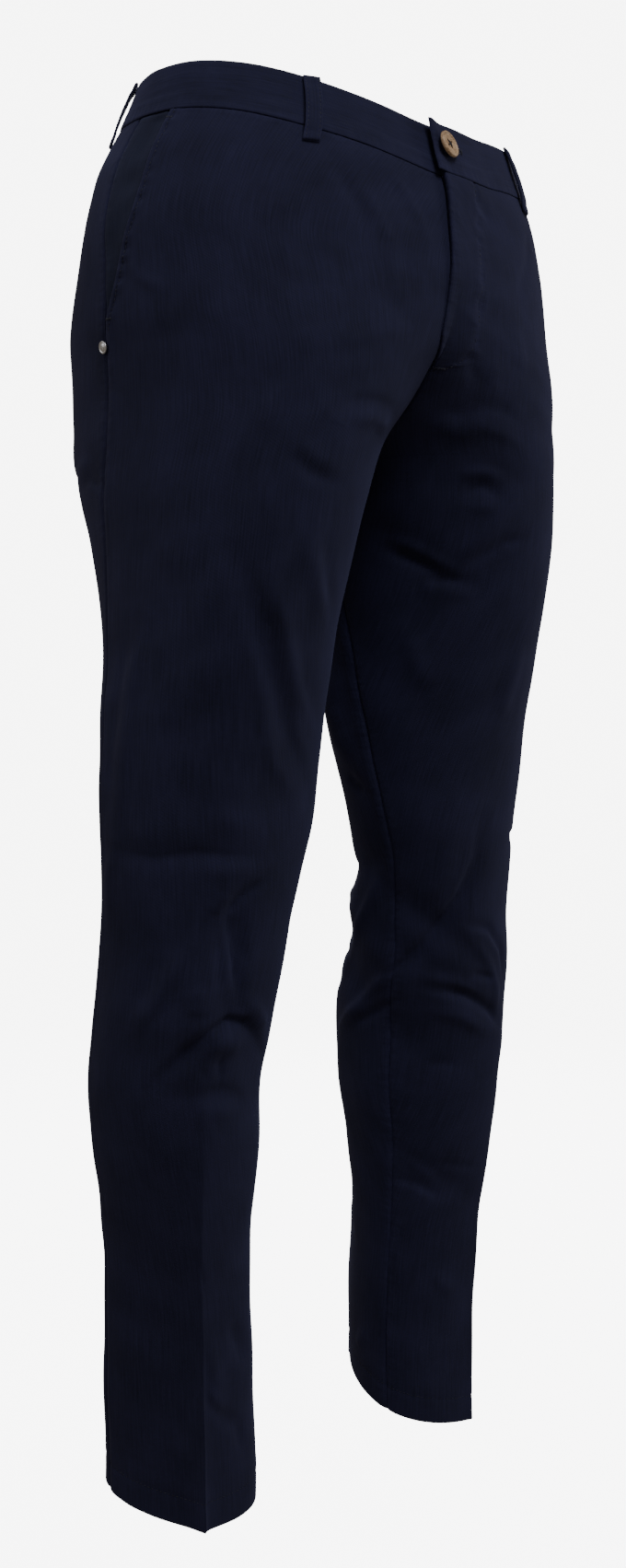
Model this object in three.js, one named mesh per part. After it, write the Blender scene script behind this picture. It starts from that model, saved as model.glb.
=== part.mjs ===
// Chino trousers, filled out as on a body with no wearer in them.
// Millimetres, +Z up. The wearer faces -Y and the wearer's left leg is at +X.
// The origin is the middle of the waistband's ring, where the wearer's waist holds the trousers.
//
// Every piece of cloth is a closed wall on one form. The form is a set of level rings, one for each
// height above the hem, and each ring is half of the garment: a leg below the crotch, and half of
// the hips and waist above it.

import * as THREE from 'three';

const RIGHT = -1;
const LEFT = 1;

// Heights above the wearer's heel. The hems hang a little above it.
const WAIST_TOP = 1055;
const WAISTBAND_WIDTH = 35;
const WAIST_SEAM = WAIST_TOP - WAISTBAND_WIDTH;
const ORIGIN_HEIGHT = WAIST_TOP - WAISTBAND_WIDTH / 2;
const CROTCH = 790;
const HEM_TURNING = 30;

// How each hem hangs: its height above the heel, and its rise for each millimetre outwards and back.
const HEM_HANG = {
  [RIGHT]: { height: 25.5, outwards: 0.096, back: 0.22 },
  [LEFT]: { height: 33, outwards: -0.16, back: 0.33 },
};
const HEM_HANG_FADE = 420;

// Cloth: cotton twill, drawn a little thicker than it is so that the wall is a sound solid.
const CLOTH = 1.5;
const HEM_THICKNESS = 3;
const WAISTBAND_THICKNESS = 3;
const WAISTBAND_PROUD = 0.8;
const SEAM_GAP = 0.3;

// Front fastening.
const FLY_LAP = 9;
const FLY_RAISE = 1.8;
const FLY_FOOT = 852;
const FLY_CURVE_TOP = 884;
const FLY_RAISE_FOOT = FLY_FOOT - 22;
const FLY_RAISE_WIDTH = 12;
const FLY_RAISE_FADE = 24;
const FLY_TOP_RAISE = 3.2;
const FLY_TOP_FOOT = 885;
const FLY_TOP_FULL = 1005;
const FLY_TOP_END = 20;
const WAISTBAND_LAP = 16;
const WAISTBAND_RAISE = 5.3;
const WAISTBAND_RAISE_FULL = 6;
const WAISTBAND_RAISE_END = 60;
const WAISTBAND_CORNER_LIFT = 3;
const CENTRE_DROP = 9;
const CENTRE_DROP_WIDTH = 70;
const CENTRE_DROP_FADE = 120;
const CENTRE_DROP_DEPTH = 60;
const SHIELD_OUTER_EDGE = 14;
const SHIELD_INNER_EDGE = 28;
const SHIELD_FOOT = 876;
const SHIELD_DEPTH = 2.8;
const SHIELD_THICKNESS = 1.2;
const ZIP_NEAR = 0.6;
const ZIP_FAR = 12;
const ZIP_FOOT = 880;
const ZIP_DEPTH = 0.4;
const ZIP_THICKNESS = 1;

// Slanted front pockets.
const POCKET_FOOT = 862;
const RIVET_HEIGHT = 853;
const RIVET_BEHIND_SEAM = 0.3;
const FACING_START = 872;
const FACING_UNDERLAP = 12;
const FACING_DEPTH = 2.2;
const FACING_STEP = 2;
const FACING_FLUSH_WIDTH = 12;
const FACING_THICKNESS = 1.2;

// Small hard pieces.
const RIVET_RADIUS = 4.5;
const RIVET_HEIGHT_ABOVE = 1.6;
const RIVET_CLEARANCE = 0.6;
const BUTTON_RADIUS = 10;
const BUTTON_THICKNESS = 3;
const BUTTON_BEVEL = 0.7;
const BUTTON_HOLE_RADIUS = 1.1;
const BUTTON_HOLE_SPACING = 2.1;
const BUTTON_X = -3.5;
const BUTTON_CLEARANCE = 2.7;
const BUTTON_SWING = 11;

// Belt loops: strips that bridge the waistband, open behind for a belt.
const LOOP_WIDTH = 12.5;
const LOOP_THICKNESS = 1.8;
const LOOP_FOOT = WAIST_SEAM - 13;
const LOOP_STAND_OFF = 2.8;
const LOOP_BOW = 0.6;
const LOOP_SEAT = 0.4;
const FRONT_LOOP_ANGLE = 128.2;
const HIP_LOOP_ANGLE = 207;
const BACK_LOOP_ANGLE = 270;

// A table is a list of rows under named columns. It is read at any height along a smooth curve.
function makeTable(columns, rows) {
  const heights = rows.map((row) => row[0]);
  const last = rows.length - 1;
  const slope = (column, i) => {
    const before = Math.max(i - 1, 0);
    const after = Math.min(i + 1, last);
    return (rows[after][column] - rows[before][column]) / (heights[after] - heights[before]);
  };
  return (name, height) => {
    const column = columns.indexOf(name);
    const h = THREE.MathUtils.clamp(height, heights[0], heights[last]);
    let i = 0;
    while (i < last - 1 && h >= heights[i + 1]) i += 1;
    const step = heights[i + 1] - heights[i];
    const t = (h - heights[i]) / step;
    const t2 = t * t;
    const t3 = t2 * t;
    return (2 * t3 - 3 * t2 + 1) * rows[i][column]
      + (t3 - 2 * t2 + t) * step * slope(column, i)
      + (3 * t2 - 2 * t3) * rows[i + 1][column]
      + (t3 - t2) * step * slope(column, i + 1);
  };
}

const WAIST_TILT = 0.26;

// One row for each section.
// height: above the heel. inner, outer: how far the section reaches from the middle plane, where a
// negative inner edge is cut off at that plane. centreY, front, back: the middle of its depth, and
// its reach to the front and back. turn: degrees that the leg is turned out. seam: degrees that the
// side seam lies behind the section's side. tilt: rise of the ring for each millimetre to the back.
const section = makeTable(
  ['height', 'inner', 'outer', 'centreY', 'front', 'back', 'turn', 'seam', 'tilt'],
  [
    [0, 67.9, 178.2, 31.8, 52.5, 52.5, 24, -6, 0],
    [80, 68.9, 179.3, 32.3, 52.6, 52.6, 23, -3, 0],
    [160, 73.5, 180.7, 30.2, 54.6, 54.6, 22, 0, 0],
    [200, 74.5, 182.7, 29.7, 58.3, 59.3, 22, 2, 0],
    [240, 72.4, 186.8, 29.2, 63, 65, 22, 3, 0],
    [280, 69.5, 191.8, 29.7, 68.8, 69.8, 21, 4, 0],
    [330, 68.8, 194.8, 28.6, 71.1, 72.1, 21, 6, 0],
    [360, 65, 194.7, 24.6, 70.7, 71.7, 20, 7, 0],
    [400, 62, 195, 17, 67.2, 68.2, 20, 8, 0],
    [440, 56.5, 196, 11, 62.5, 62.5, 18, 9, 0],
    [480, 49.5, 198.5, 6, 62, 63, 17, 10, 0],
    [520, 41, 200.5, 4.5, 66, 67, 15, 11, 0],
    [560, 36, 198.5, 5.5, 75, 75, 13, 12, 0],
    [600, 32.5, 195.5, 5.5, 84, 84, 12, 13, 0],
    [640, 31, 191.5, 4.5, 94, 95, 10, 15, 0],
    [680, 27, 190.5, 5, 106, 106, 8, 15, 0],
    [720, 20, 192, 6.5, 116, 117, 5, 13, 0],
    [750, 12, 194, 9, 124, 126, 3, 11, 0],
    [CROTCH, 0, 195, 11, 132, 136, 0, 8, 0],
    [820, -26, 196, 12, 136, 141, 0, 6, 0.03],
    [850, -56, 200, 12, 139, 145, 0, 4, 0.05],
    [870, -86, 204, 11, 139, 147, 0, 3, 0.08],
    [900, -140, 206, 9, 138, 146, 0, 2, 0.11],
    [940, -206, 206, 5.5, 137, 141, 0, 4, 0.16],
    [980, -197, 197, 4.5, 133, 135, 0, 4, 0.21],
    [1005, -186, 186, 2, 128, 130, 0, 4, 0.24],
    [WAIST_SEAM, -179, 179, 0, 122, 125, 0, 4, WAIST_TILT],
    [WAIST_TOP, -167.5, 167.5, 0, 110, 105, 0, 4, WAIST_TILT],
  ],
);

// How far each leg ring is pinched from an ellipse to a lens, pointed at its pressed creases.
const pinch = makeTable(['height', 'power'], [
  [0, 0.62],
  [80, 0.58],
  [160, 0.5],
  [200, 0.44],
  [240, 0.36],
  [280, 0.28],
  [330, 0.16],
  [360, 0.1],
  [400, 0.04],
  [440, 0],
]);
const PINCH_ROUNDING = 0.25;

// The waist line isn't straight as seen from the side. At each distance to the back, this is how far
// the waist ring stands over its tilted plane. Rings lower down take their share by their own tilt.
const waistLine = makeTable(['y', 'rise'], [
  [-125, 3],
  [-97, 4.2],
  [-65, 5.4],
  [-32, 2],
  [-5, -3.5],
  [25, -9],
  [55, -11],
  [90, -9.5],
  [125, -7.5],
]);

// Width of the pocket mouth at each height: from the side seam forward to the front's slanted edge.
const pocketMouth = makeTable(['height', 'width'], [
  [POCKET_FOOT, 0],
  [885, 8],
  [910, 17],
  [945, 30],
  [975, 33.5],
  [WAIST_SEAM, 31.5],
]);

// Height of the pressed crease along the middle of each front and back leg.
const creaseHeight = makeTable(['height', 'rise'], [
  [0, 7],
  [110, 4.5],
  [200, 2.2],
  [340, 0.8],
  [480, 0.5],
  [650, 1],
  [800, 0.5],
  [860, 0],
]);
const CREASE_WIDTH = 9;
const CREASE_SHARE = { [RIGHT]: 1, [LEFT]: 0.4 };

// Between these heights the inseam turns with the leg.
const INSEAM_TURN_START = 480;
const INSEAM_TURN_END = 700;

// Between these distances from the middle plane the folds fade in.
const FOLD_FADE_START = 2;
const FOLD_FADE_END = 22;

// The largest folds, one row each, on one leg. height and angle give the middle of the fold, with
// the angle in degrees round the leg: 0 inside, 90 front, 180 outside, 270 back. length and width
// are its reach either way, slant is how far its line leans from level, in degrees, rising towards
// the outside, and depth is positive for a ridge and negative for a trough.
const FOLD_COLUMNS = ['height', 'angle', 'length', 'width', 'slant', 'depth'];
const FOLDS = {
  [RIGHT]: [
    [497, 122, 60, 8, 0, -3.5],
    [512, 122, 60, 10, 0, 2],
    [478, 92, 16, 14, 0, 4],
    [425, 84, 60, 10, 86, -5],
    [415, 108, 50, 13, 80, 3.5],
    [372, 88, 40, 12, 8, 5],
    [355, 60, 34, 11, 52, -4.5],
    [328, 90, 45, 9, 6, -3],
    [648, 108, 90, 13, 62, -4],
    [655, 84, 85, 13, 64, -3.5],
    [660, 132, 80, 14, 60, 3],
    [470, 300, 60, 12, -12, -5],
    [440, 285, 60, 12, 10, 4.5],
    [410, 280, 55, 12, -6, -5],
    [380, 270, 50, 12, 8, 4],
    [765, 265, 70, 13, 22, -4],
    [735, 285, 60, 13, 30, 3],
  ],
  [LEFT]: [
    [772, 70, 45, 10, 5, -3],
    [712, 32, 50, 12, -35, -4],
    [708, 62, 50, 12, 40, -4],
    [432, 25, 70, 13, -38, -6],
    [372, 335, 60, 13, -42, -5],
    [404, 350, 55, 14, -38, 5],
    [355, 342, 35, 10, 40, 3.5],
    [366, 58, 50, 11, -38, -4.5],
    [345, 70, 45, 11, -30, 3.5],
    [212, 32, 50, 11, -28, -3],
    [470, 300, 60, 12, 12, -5],
    [440, 285, 60, 12, -10, 4],
    [415, 278, 55, 12, 6, -4.5],
    [770, 275, 70, 13, -22, -4],
    [740, 255, 60, 13, -30, 3],
  ],
};

const radians = THREE.MathUtils.degToRad;
const ramp = (from, to, value) => THREE.MathUtils.smoothstep(value, from, to);

// The ellipse of one section: its middle, half width, half depth and turn, on the outward side.
function ellipse(height, back) {
  const outer = section('outer', height);
  const inner = Math.max(section('inner', height), -outer) + SEAM_GAP / 2;
  return {
    middle: (outer + inner) / 2,
    width: (outer - inner) / 2,
    depth: section(back ? 'back' : 'front', height),
    turn: radians(section('turn', height)),
  };
}

// The angle at which a section meets a plane across the garment, at distance x from the middle.
// Where the leg doesn't reach that plane, it is the inseam instead.
function edgeAngle(height, x, back) {
  const { middle, width, depth, turn } = ellipse(height, back);
  const reach = Math.hypot(width * Math.cos(turn), depth * Math.sin(turn));
  const lean = Math.atan2(depth * Math.sin(turn), width * Math.cos(turn));
  if (middle - x < reach) {
    const open = Math.acos((middle - x) / reach);
    return back ? 2 * Math.PI - open - lean : open - lean;
  }
  const inseam = -lean * ramp(INSEAM_TURN_START, INSEAM_TURN_END, height);
  return back ? 2 * Math.PI + inseam : inseam;
}

function sideSeamAngle(height) {
  return Math.PI + radians(section('seam', height));
}

// A point of the bare form, with no folds. The side is RIGHT or LEFT.
function formPoint(side, height, angle) {
  const { middle, width, depth, turn } = ellipse(height, Math.sin(angle) < 0);
  const level = Math.cos(angle);
  const lens = (level * level + PINCH_ROUNDING * PINCH_ROUNDING) ** (pinch('power', height) / 2);
  const across = -width * level * lens;
  const deep = -depth * Math.sin(angle);
  const x = middle + across * Math.cos(turn) - deep * Math.sin(turn);
  const centreY = section('centreY', height);
  const y = centreY + across * Math.sin(turn) + deep * Math.cos(turn);
  const hang = HEM_HANG[side];
  const hemRise = (1 - ramp(0, HEM_HANG_FADE, height))
    * (hang.height + hang.outwards * (x - middle) + hang.back * (y - centreY));
  const drop = CENTRE_DROP * Math.exp(-((x / CENTRE_DROP_WIDTH) ** 2))
    * ramp(WAIST_SEAM - CENTRE_DROP_FADE, WAIST_SEAM, height) * ramp(0, CENTRE_DROP_DEPTH, -y);
  const tilt = section('tilt', height);
  const lean = tilt * y + (tilt / WAIST_TILT) * waistLine('rise', y);
  const z = height - ORIGIN_HEIGHT + lean + hemRise - drop;
  return new THREE.Vector3(side * x, y, z);
}

// The outward normal of the bare form.
function formNormal(side, height, angle) {
  const turnStep = 0.002;
  const heightStep = 0.5;
  const round = formPoint(side, height, angle + turnStep).sub(formPoint(side, height, angle - turnStep));
  const up = formPoint(side, height + heightStep, angle).sub(formPoint(side, height - heightStep, angle));
  return round.cross(up).multiplyScalar(side).normalize();
}

// Distance round the section for each radian at this angle.
function arcRate(height, angle) {
  const { width, depth } = ellipse(height, Math.sin(angle) < 0);
  return Math.hypot(width * Math.sin(angle), depth * Math.cos(angle));
}

// How far the cloth stands off the bare form because of its creases and folds.
function foldRise(side, height, angle) {
  const degrees = THREE.MathUtils.radToDeg(angle);
  const rate = arcRate(height, angle);
  let rise = 0;
  for (const middle of [frontCreaseAngle(height), backCreaseAngle(height)]) {
    const away = Math.abs(angle - middle) * rate;
    rise += CREASE_SHARE[side] * creaseHeight('rise', height) * Math.exp(-away / CREASE_WIDTH);
  }
  for (const row of FOLDS[side]) {
    const fold = Object.fromEntries(FOLD_COLUMNS.map((name, i) => [name, row[i]]));
    const turned = THREE.MathUtils.euclideanModulo(degrees - fold.angle + 180, 360) - 180;
    const round = radians(turned) * rate;
    const up = height - fold.height;
    const slant = radians(fold.slant);
    const along = round * Math.cos(slant) + up * Math.sin(slant);
    const across = -round * Math.sin(slant) + up * Math.cos(slant);
    rise += fold.depth * Math.exp(-((along / fold.length) ** 2) - (across / fold.width) ** 2);
  }
  return rise;
}

function frontCreaseAngle(height) {
  return (edgeAngle(height, 0, false) + sideSeamAngle(height)) / 2;
}

function backCreaseAngle(height) {
  return (edgeAngle(height, 0, true) + sideSeamAngle(height)) / 2;
}

// A point of the cloth, moved out from the form by offset. Folds fade out at the middle plane.
function clothPoint(side, height, angle, offset) {
  const point = formPoint(side, height, angle);
  const fade = ramp(FOLD_FADE_START, FOLD_FADE_END, Math.abs(point.x));
  const rise = foldRise(side, height, angle) * fade + offset;
  point.addScaledVector(formNormal(side, height, angle), rise);
  point.x = side * Math.max(side * point.x, SEAM_GAP / 2);
  return point;
}

// A point of the front at distance x from the middle plane, positive to the wearer's left. On the
// plane itself, where the two halves meet in a groove, it moves straight in or out.
function frontPointAt(x, height, offset) {
  const side = x < 0 ? RIGHT : LEFT;
  const angle = edgeAngle(height, Math.abs(x), false);
  const point = formPoint(side, height, angle);
  const normal = formNormal(side, height, angle);
  if (x === 0) return new THREE.Vector3(0, point.y + offset / normal.y, point.z);
  return point.addScaledVector(normal, offset);
}

// A closed wall between two grids of points, outer and inner, each a list of rows from the bottom up.
// Columns run towards the side. mirrored says that they run the other way as seen from outside.
function wallGeometry(outer, inner, mirrored) {
  const rows = outer.length;
  const columns = outer[0].length;
  const positions = [...outer.flat(), ...inner.flat()].flatMap((point) => point.toArray());
  const at = (layer, row, column) => (layer * rows + row) * columns + column;
  const index = [];
  const quad = (a, b, c, d) => {
    if (mirrored) index.push(a, c, b, a, d, c);
    else index.push(a, b, c, a, c, d);
  };
  for (let row = 0; row + 1 < rows; row += 1) {
    for (let column = 0; column + 1 < columns; column += 1) {
      quad(at(0, row, column), at(0, row, column + 1), at(0, row + 1, column + 1), at(0, row + 1, column));
      quad(at(1, row, column), at(1, row + 1, column), at(1, row + 1, column + 1), at(1, row, column + 1));
    }
    const end = columns - 1;
    quad(at(1, row, 0), at(0, row, 0), at(0, row + 1, 0), at(1, row + 1, 0));
    quad(at(0, row, end), at(1, row, end), at(1, row + 1, end), at(0, row + 1, end));
  }
  const top = rows - 1;
  for (let column = 0; column + 1 < columns; column += 1) {
    quad(at(1, 0, column), at(1, 0, column + 1), at(0, 0, column + 1), at(0, 0, column));
    quad(at(0, top, column), at(0, top, column + 1), at(1, top, column + 1), at(1, top, column));
  }
  const geometry = new THREE.BufferGeometry();
  geometry.setAttribute('position', new THREE.Float32BufferAttribute(positions, 3));
  geometry.setIndex(index);
  geometry.computeVertexNormals();
  return geometry;
}

const finish = (colour, roughness, metalness = 0) => (
  new THREE.MeshStandardMaterial({ color: colour, roughness, metalness })
);
const NAVY_TWILL = finish(0x1b1e30, 0.85);
const NAVY_POCKET = finish(0x191c2d, 0.88);
const ZIP_TAPE = finish(0x171a29, 0.8);
const COCONUT = finish(0xa98a66, 0.45);
const PEWTER = finish(0x8c8b88, 0.4, 1);

const trousers = new THREE.Group();

function addPiece(name, geometry, material) {
  const mesh = new THREE.Mesh(geometry, material);
  mesh.name = name;
  trousers.add(mesh);
  return mesh;
}

const sideName = (side) => (side === RIGHT ? 'right' : 'left');
const spread = (count) => Array.from({ length: count + 1 }, (unused, i) => i / count);

// Rows of a leg panel: closer together at the hem, the knee and the crotch, where the form bends.
function panelRows() {
  const rows = [0, HEM_TURNING - 1, HEM_TURNING + 1];
  const stretches = [
    [HEM_TURNING + 1, 190, 4],
    [190, 300, 5],
    [300, 520, 14],
    [520, 640, 5],
    [640, 780, 6],
  ];
  for (const [from, to, count] of stretches) {
    for (let i = 1; i <= count; i += 1) rows.push(from + ((to - from) * i) / count);
  }
  rows.push(CROTCH, 793, 799, 808, 820, 835, FLY_FOOT, POCKET_FOOT, 873, FLY_CURVE_TOP);
  rows.push(905, 930, 955, 980, 1002, WAIST_SEAM - SEAM_GAP);
  return rows;
}
const PANEL_ROWS = panelRows();
const PANEL_COLUMNS = spread(14);

const wallAt = (height) => (height < HEM_TURNING ? HEM_THICKNESS : CLOTH);

function pocketEdgeAngle(height) {
  const seam = sideSeamAngle(height);
  const width = height > POCKET_FOOT ? pocketMouth('width', height) : 0;
  return seam - width / arcRate(height, seam);
}

// How far the left front reaches over the middle plane, and how far it is raised to lie on the right.
const flyLap = (height) => FLY_LAP * ramp(FLY_FOOT, FLY_CURVE_TOP, height);
function flyRaise(x, height) {
  const whole = FLY_RAISE * ramp(FLY_RAISE_FOOT, FLY_FOOT - 2, height)
    * (1 - ramp(FLY_RAISE_WIDTH, FLY_RAISE_WIDTH + FLY_RAISE_FADE, x));
  const edge = FLY_TOP_RAISE * ramp(FLY_TOP_FOOT, FLY_TOP_FULL, height)
    * (1 - ramp(-FLY_LAP, FLY_TOP_END, x));
  return whole + edge;
}

function frontPanel(side) {
  const layer = (inside) => PANEL_ROWS.map((height) => {
    const lap = side === LEFT ? flyLap(height) : 0;
    const inset = SEAM_GAP / 2;
    const outerEdge = pocketEdgeAngle(height);
    const end = outerEdge - inset / arcRate(height, outerEdge);
    const closed = height <= CROTCH ? inset / arcRate(height, 0) : 0;
    const start = edgeAngle(height, 0, false) + closed;
    const shift = lap > 0 ? edgeAngle(height, lap, false) - edgeAngle(height, 0, false) : 0;
    return PANEL_COLUMNS.map((s) => {
      const angle = start - shift + (end - start + shift) * s;
      const lapped = angle < start;
      const x = lapped ? -lap * (start - angle) / shift : Math.abs(formPoint(LEFT, height, angle).x);
      const raise = side === LEFT ? flyRaise(x, height) : 0;
      const offset = raise - (inside ? wallAt(height) : 0);
      if (lapped) return frontPointAt(x, height, offset);
      return clothPoint(side, height, angle, offset);
    });
  });
  return wallGeometry(layer(false), layer(true), side === RIGHT);
}

function backPanel(side) {
  const layer = (inside) => PANEL_ROWS.map((height) => {
    const inset = SEAM_GAP / 2;
    const seam = sideSeamAngle(height);
    const start = seam + inset / arcRate(height, seam);
    const closed = height <= CROTCH ? inset / arcRate(height, 0) : 0;
    const end = edgeAngle(height, 0, true) - closed;
    const offset = inside ? -wallAt(height) : 0;
    return PANEL_COLUMNS.map((s) => clothPoint(side, height, start + (end - start) * s, offset));
  });
  return wallGeometry(layer(false), layer(true), side === RIGHT);
}

// The cloth seen in the pocket mouth. It runs in under the front and comes flush at the side seam.
function pocketFacing(side) {
  const heights = spread(9).map((t) => FACING_START + (WAIST_SEAM - SEAM_GAP - FACING_START) * t);
  const steps = [-1, 0, 0.25, 0.5, 0.75, 1];
  const layer = (inside) => heights.map((height) => {
    const seam = sideSeamAngle(height);
    const rate = arcRate(height, seam);
    const mouth = pocketEdgeAngle(height);
    const width = (seam - mouth) * rate;
    const flush = ramp(2, FACING_FLUSH_WIDTH, width);
    return steps.map((step) => {
      const first = mouth + FACING_STEP / rate;
      const last = seam - SEAM_GAP / 2 / rate;
      const angle = step < 0 ? mouth - FACING_UNDERLAP / rate : first + (last - first) * step;
      const offset = -FACING_DEPTH * (1 - flush * Math.max(step, 0)) - (inside ? FACING_THICKNESS : 0);
      return clothPoint(side, height, angle, offset);
    });
  });
  return wallGeometry(layer(false), layer(true), side === RIGHT);
}

// A strip on the front between two distances from the middle plane.
function frontStrip(from, to, bottom, top, offset, thickness, columns, rows) {
  const layer = (depth) => spread(rows).map((t) => (
    spread(columns).map((s) => frontPointAt(from + (to - from) * s, bottom + (top - bottom) * t, depth))
  ));
  return wallGeometry(layer(offset), layer(offset - thickness), false);
}

// Half of the waistband, from the centre front round the side to the centre back.
function waistbandHalf(side) {
  const heights = spread(3).map((t) => WAIST_SEAM + WAISTBAND_WIDTH * t);
  const lapSteps = side === LEFT ? [-WAISTBAND_LAP, -WAISTBAND_LAP / 2] : [];
  const start = side === LEFT ? SEAM_GAP / 2 : 0;
  const layer = (inside) => heights.map((height) => {
    const front = edgeAngle(height, start, false);
    const back = edgeAngle(height, 0, true);
    const upper = ramp(WAIST_SEAM + 10, WAIST_TOP, height);
    const round = spread(26).map((s) => front + (back - front) * s);
    const depth = WAISTBAND_PROUD - (inside ? WAISTBAND_THICKNESS : 0);
    const lap = lapSteps.map((x) => {
      const lift = WAISTBAND_CORNER_LIFT * upper * ramp(4, WAISTBAND_LAP, -x);
      return frontPointAt(x, height, depth + WAISTBAND_RAISE + lift);
    });
    const body = round.map((angle) => {
      const x = Math.abs(formPoint(side, height, angle).x);
      const isFront = Math.sin(angle) > 0;
      const near = 1 - ramp(WAISTBAND_RAISE_FULL, WAISTBAND_RAISE_END, x);
      const raise = side === LEFT && isFront ? WAISTBAND_RAISE * near : 0;
      return clothPoint(side, height, angle, depth + raise);
    });
    return [...lap, ...body];
  });
  return wallGeometry(layer(false), layer(true), side === RIGHT);
}

// A belt loop, bent out of a strip: seated on the cloth below the waistband and at its top edge,
// and standing off between, so that a belt passes behind it.
function beltLoop(side, angleDegrees) {
  const stations = [
    [LOOP_FOOT, LOOP_SEAT],
    [LOOP_FOOT + 5, LOOP_SEAT + LOOP_BOW],
    [LOOP_FOOT + 11, LOOP_STAND_OFF],
    [LOOP_FOOT + 24, LOOP_STAND_OFF + LOOP_BOW],
    [WAIST_TOP - 10, LOOP_STAND_OFF],
    [WAIST_TOP - 5, WAISTBAND_PROUD + LOOP_SEAT + LOOP_BOW / 2],
    [WAIST_TOP - 0.5, WAISTBAND_PROUD + LOOP_SEAT],
  ];
  const angle = radians(angleDegrees);
  const layer = (outside) => stations.map(([height, offset]) => {
    const centre = formPoint(side, height, angle);
    const normal = formNormal(side, height, angle);
    const along = new THREE.Vector3(-normal.y, normal.x, 0).normalize().multiplyScalar(side);
    centre.addScaledVector(normal, offset + (outside ? LOOP_THICKNESS : 0));
    return [-LOOP_WIDTH / 2, 0, LOOP_WIDTH / 2].map((x) => centre.clone().addScaledVector(along, x));
  });
  return wallGeometry(layer(true), layer(false), side === RIGHT);
}

// Turns a piece made round the Z axis to stand on the cloth, and moves it there.
function standOn(geometry, point, normal) {
  const turn = new THREE.Quaternion().setFromUnitVectors(new THREE.Vector3(0, 0, 1), normal);
  return geometry.applyQuaternion(turn).translate(point.x, point.y, point.z);
}

function rivet(side) {
  const angle = sideSeamAngle(RIVET_HEIGHT) + radians(RIVET_BEHIND_SEAM);
  const point = clothPoint(side, RIVET_HEIGHT, angle, RIVET_CLEARANCE);
  const profile = [
    [0, 0],
    [RIVET_RADIUS - 0.3, 0],
    [RIVET_RADIUS, 0.4],
    [RIVET_RADIUS - 0.4, 1.1],
    [RIVET_RADIUS - 1.3, 0.9],
    [RIVET_RADIUS - 2, 1.3],
    [0, RIVET_HEIGHT_ABOVE],
  ].map(([radius, height]) => new THREE.Vector2(radius, height));
  const turned = new THREE.LatheGeometry(profile, 20);
  turned.rotateX(Math.PI / 2);
  return standOn(turned, point, formNormal(side, RIVET_HEIGHT, angle));
}

function button() {
  const outline = new THREE.Shape();
  outline.absarc(0, 0, BUTTON_RADIUS - BUTTON_BEVEL, 0, 2 * Math.PI, false);
  for (const [x, y] of [[1, 1], [-1, 1], [-1, -1], [1, -1]]) {
    const hole = new THREE.Path();
    const centre = BUTTON_HOLE_SPACING;
    hole.absarc(x * centre, y * centre, BUTTON_HOLE_RADIUS, 0, 2 * Math.PI, true);
    outline.holes.push(hole);
  }
  const disc = new THREE.ExtrudeGeometry(outline, {
    depth: BUTTON_THICKNESS - 2 * BUTTON_BEVEL,
    bevelThickness: BUTTON_BEVEL,
    bevelSize: BUTTON_BEVEL,
    bevelSegments: 1,
    curveSegments: 8,
  });
  disc.translate(0, 0, BUTTON_BEVEL);
  const height = ORIGIN_HEIGHT;
  const seat = WAISTBAND_PROUD + WAISTBAND_RAISE + BUTTON_CLEARANCE;
  const angle = edgeAngle(height, -BUTTON_X, false);
  // The button hangs from its thread a little turned to the wearer's left.
  const upright = new THREE.Vector3(0, 0, 1);
  const facing = formNormal(RIGHT, height, angle).applyAxisAngle(upright, radians(BUTTON_SWING));
  return standOn(disc, frontPointAt(BUTTON_X, height, seat), facing);
}

for (const side of [RIGHT, LEFT]) {
  addPiece(`front_${sideName(side)}`, frontPanel(side), NAVY_TWILL);
  addPiece(`back_${sideName(side)}`, backPanel(side), NAVY_TWILL);
  addPiece(`pocket_facing_${sideName(side)}`, pocketFacing(side), NAVY_POCKET);
  addPiece(`waistband_${sideName(side)}`, waistbandHalf(side), NAVY_TWILL);
  addPiece(`rivet_${sideName(side)}`, rivet(side), PEWTER);
  addPiece(`belt_loop_front_${sideName(side)}`, beltLoop(side, FRONT_LOOP_ANGLE), NAVY_TWILL);
  addPiece(`belt_loop_hip_${sideName(side)}`, beltLoop(side, HIP_LOOP_ANGLE), NAVY_TWILL);
}
addPiece('belt_loop_back', beltLoop(LEFT, BACK_LOOP_ANGLE), NAVY_TWILL);
addPiece('fly_shield', frontStrip(
  -SHIELD_OUTER_EDGE, SHIELD_INNER_EDGE, SHIELD_FOOT, WAIST_SEAM - 1,
  -SHIELD_DEPTH, SHIELD_THICKNESS, 6, 7,
), NAVY_POCKET);
addPiece('zip', frontStrip(
  ZIP_NEAR, ZIP_FAR, ZIP_FOOT, WAIST_SEAM - 2,
  -ZIP_DEPTH, ZIP_THICKNESS, 2, 8,
), ZIP_TAPE);
addPiece('button', button(), COCONUT);

export default trousers;
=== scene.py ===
"""Navy cotton twill chino trousers, filled out as on a body with no wearer in them.

Sizes are millimetres unless a name says otherwise. The wearer faces -Y, the wearer's left leg is at
+X, and the origin is the middle of the waistband's ring.
"""

import logging
import math
from dataclasses import dataclass, field
from enum import Enum
from typing import Sequence

import bmesh
import bpy
import numpy as np
from mathutils import Matrix, Vector


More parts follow.
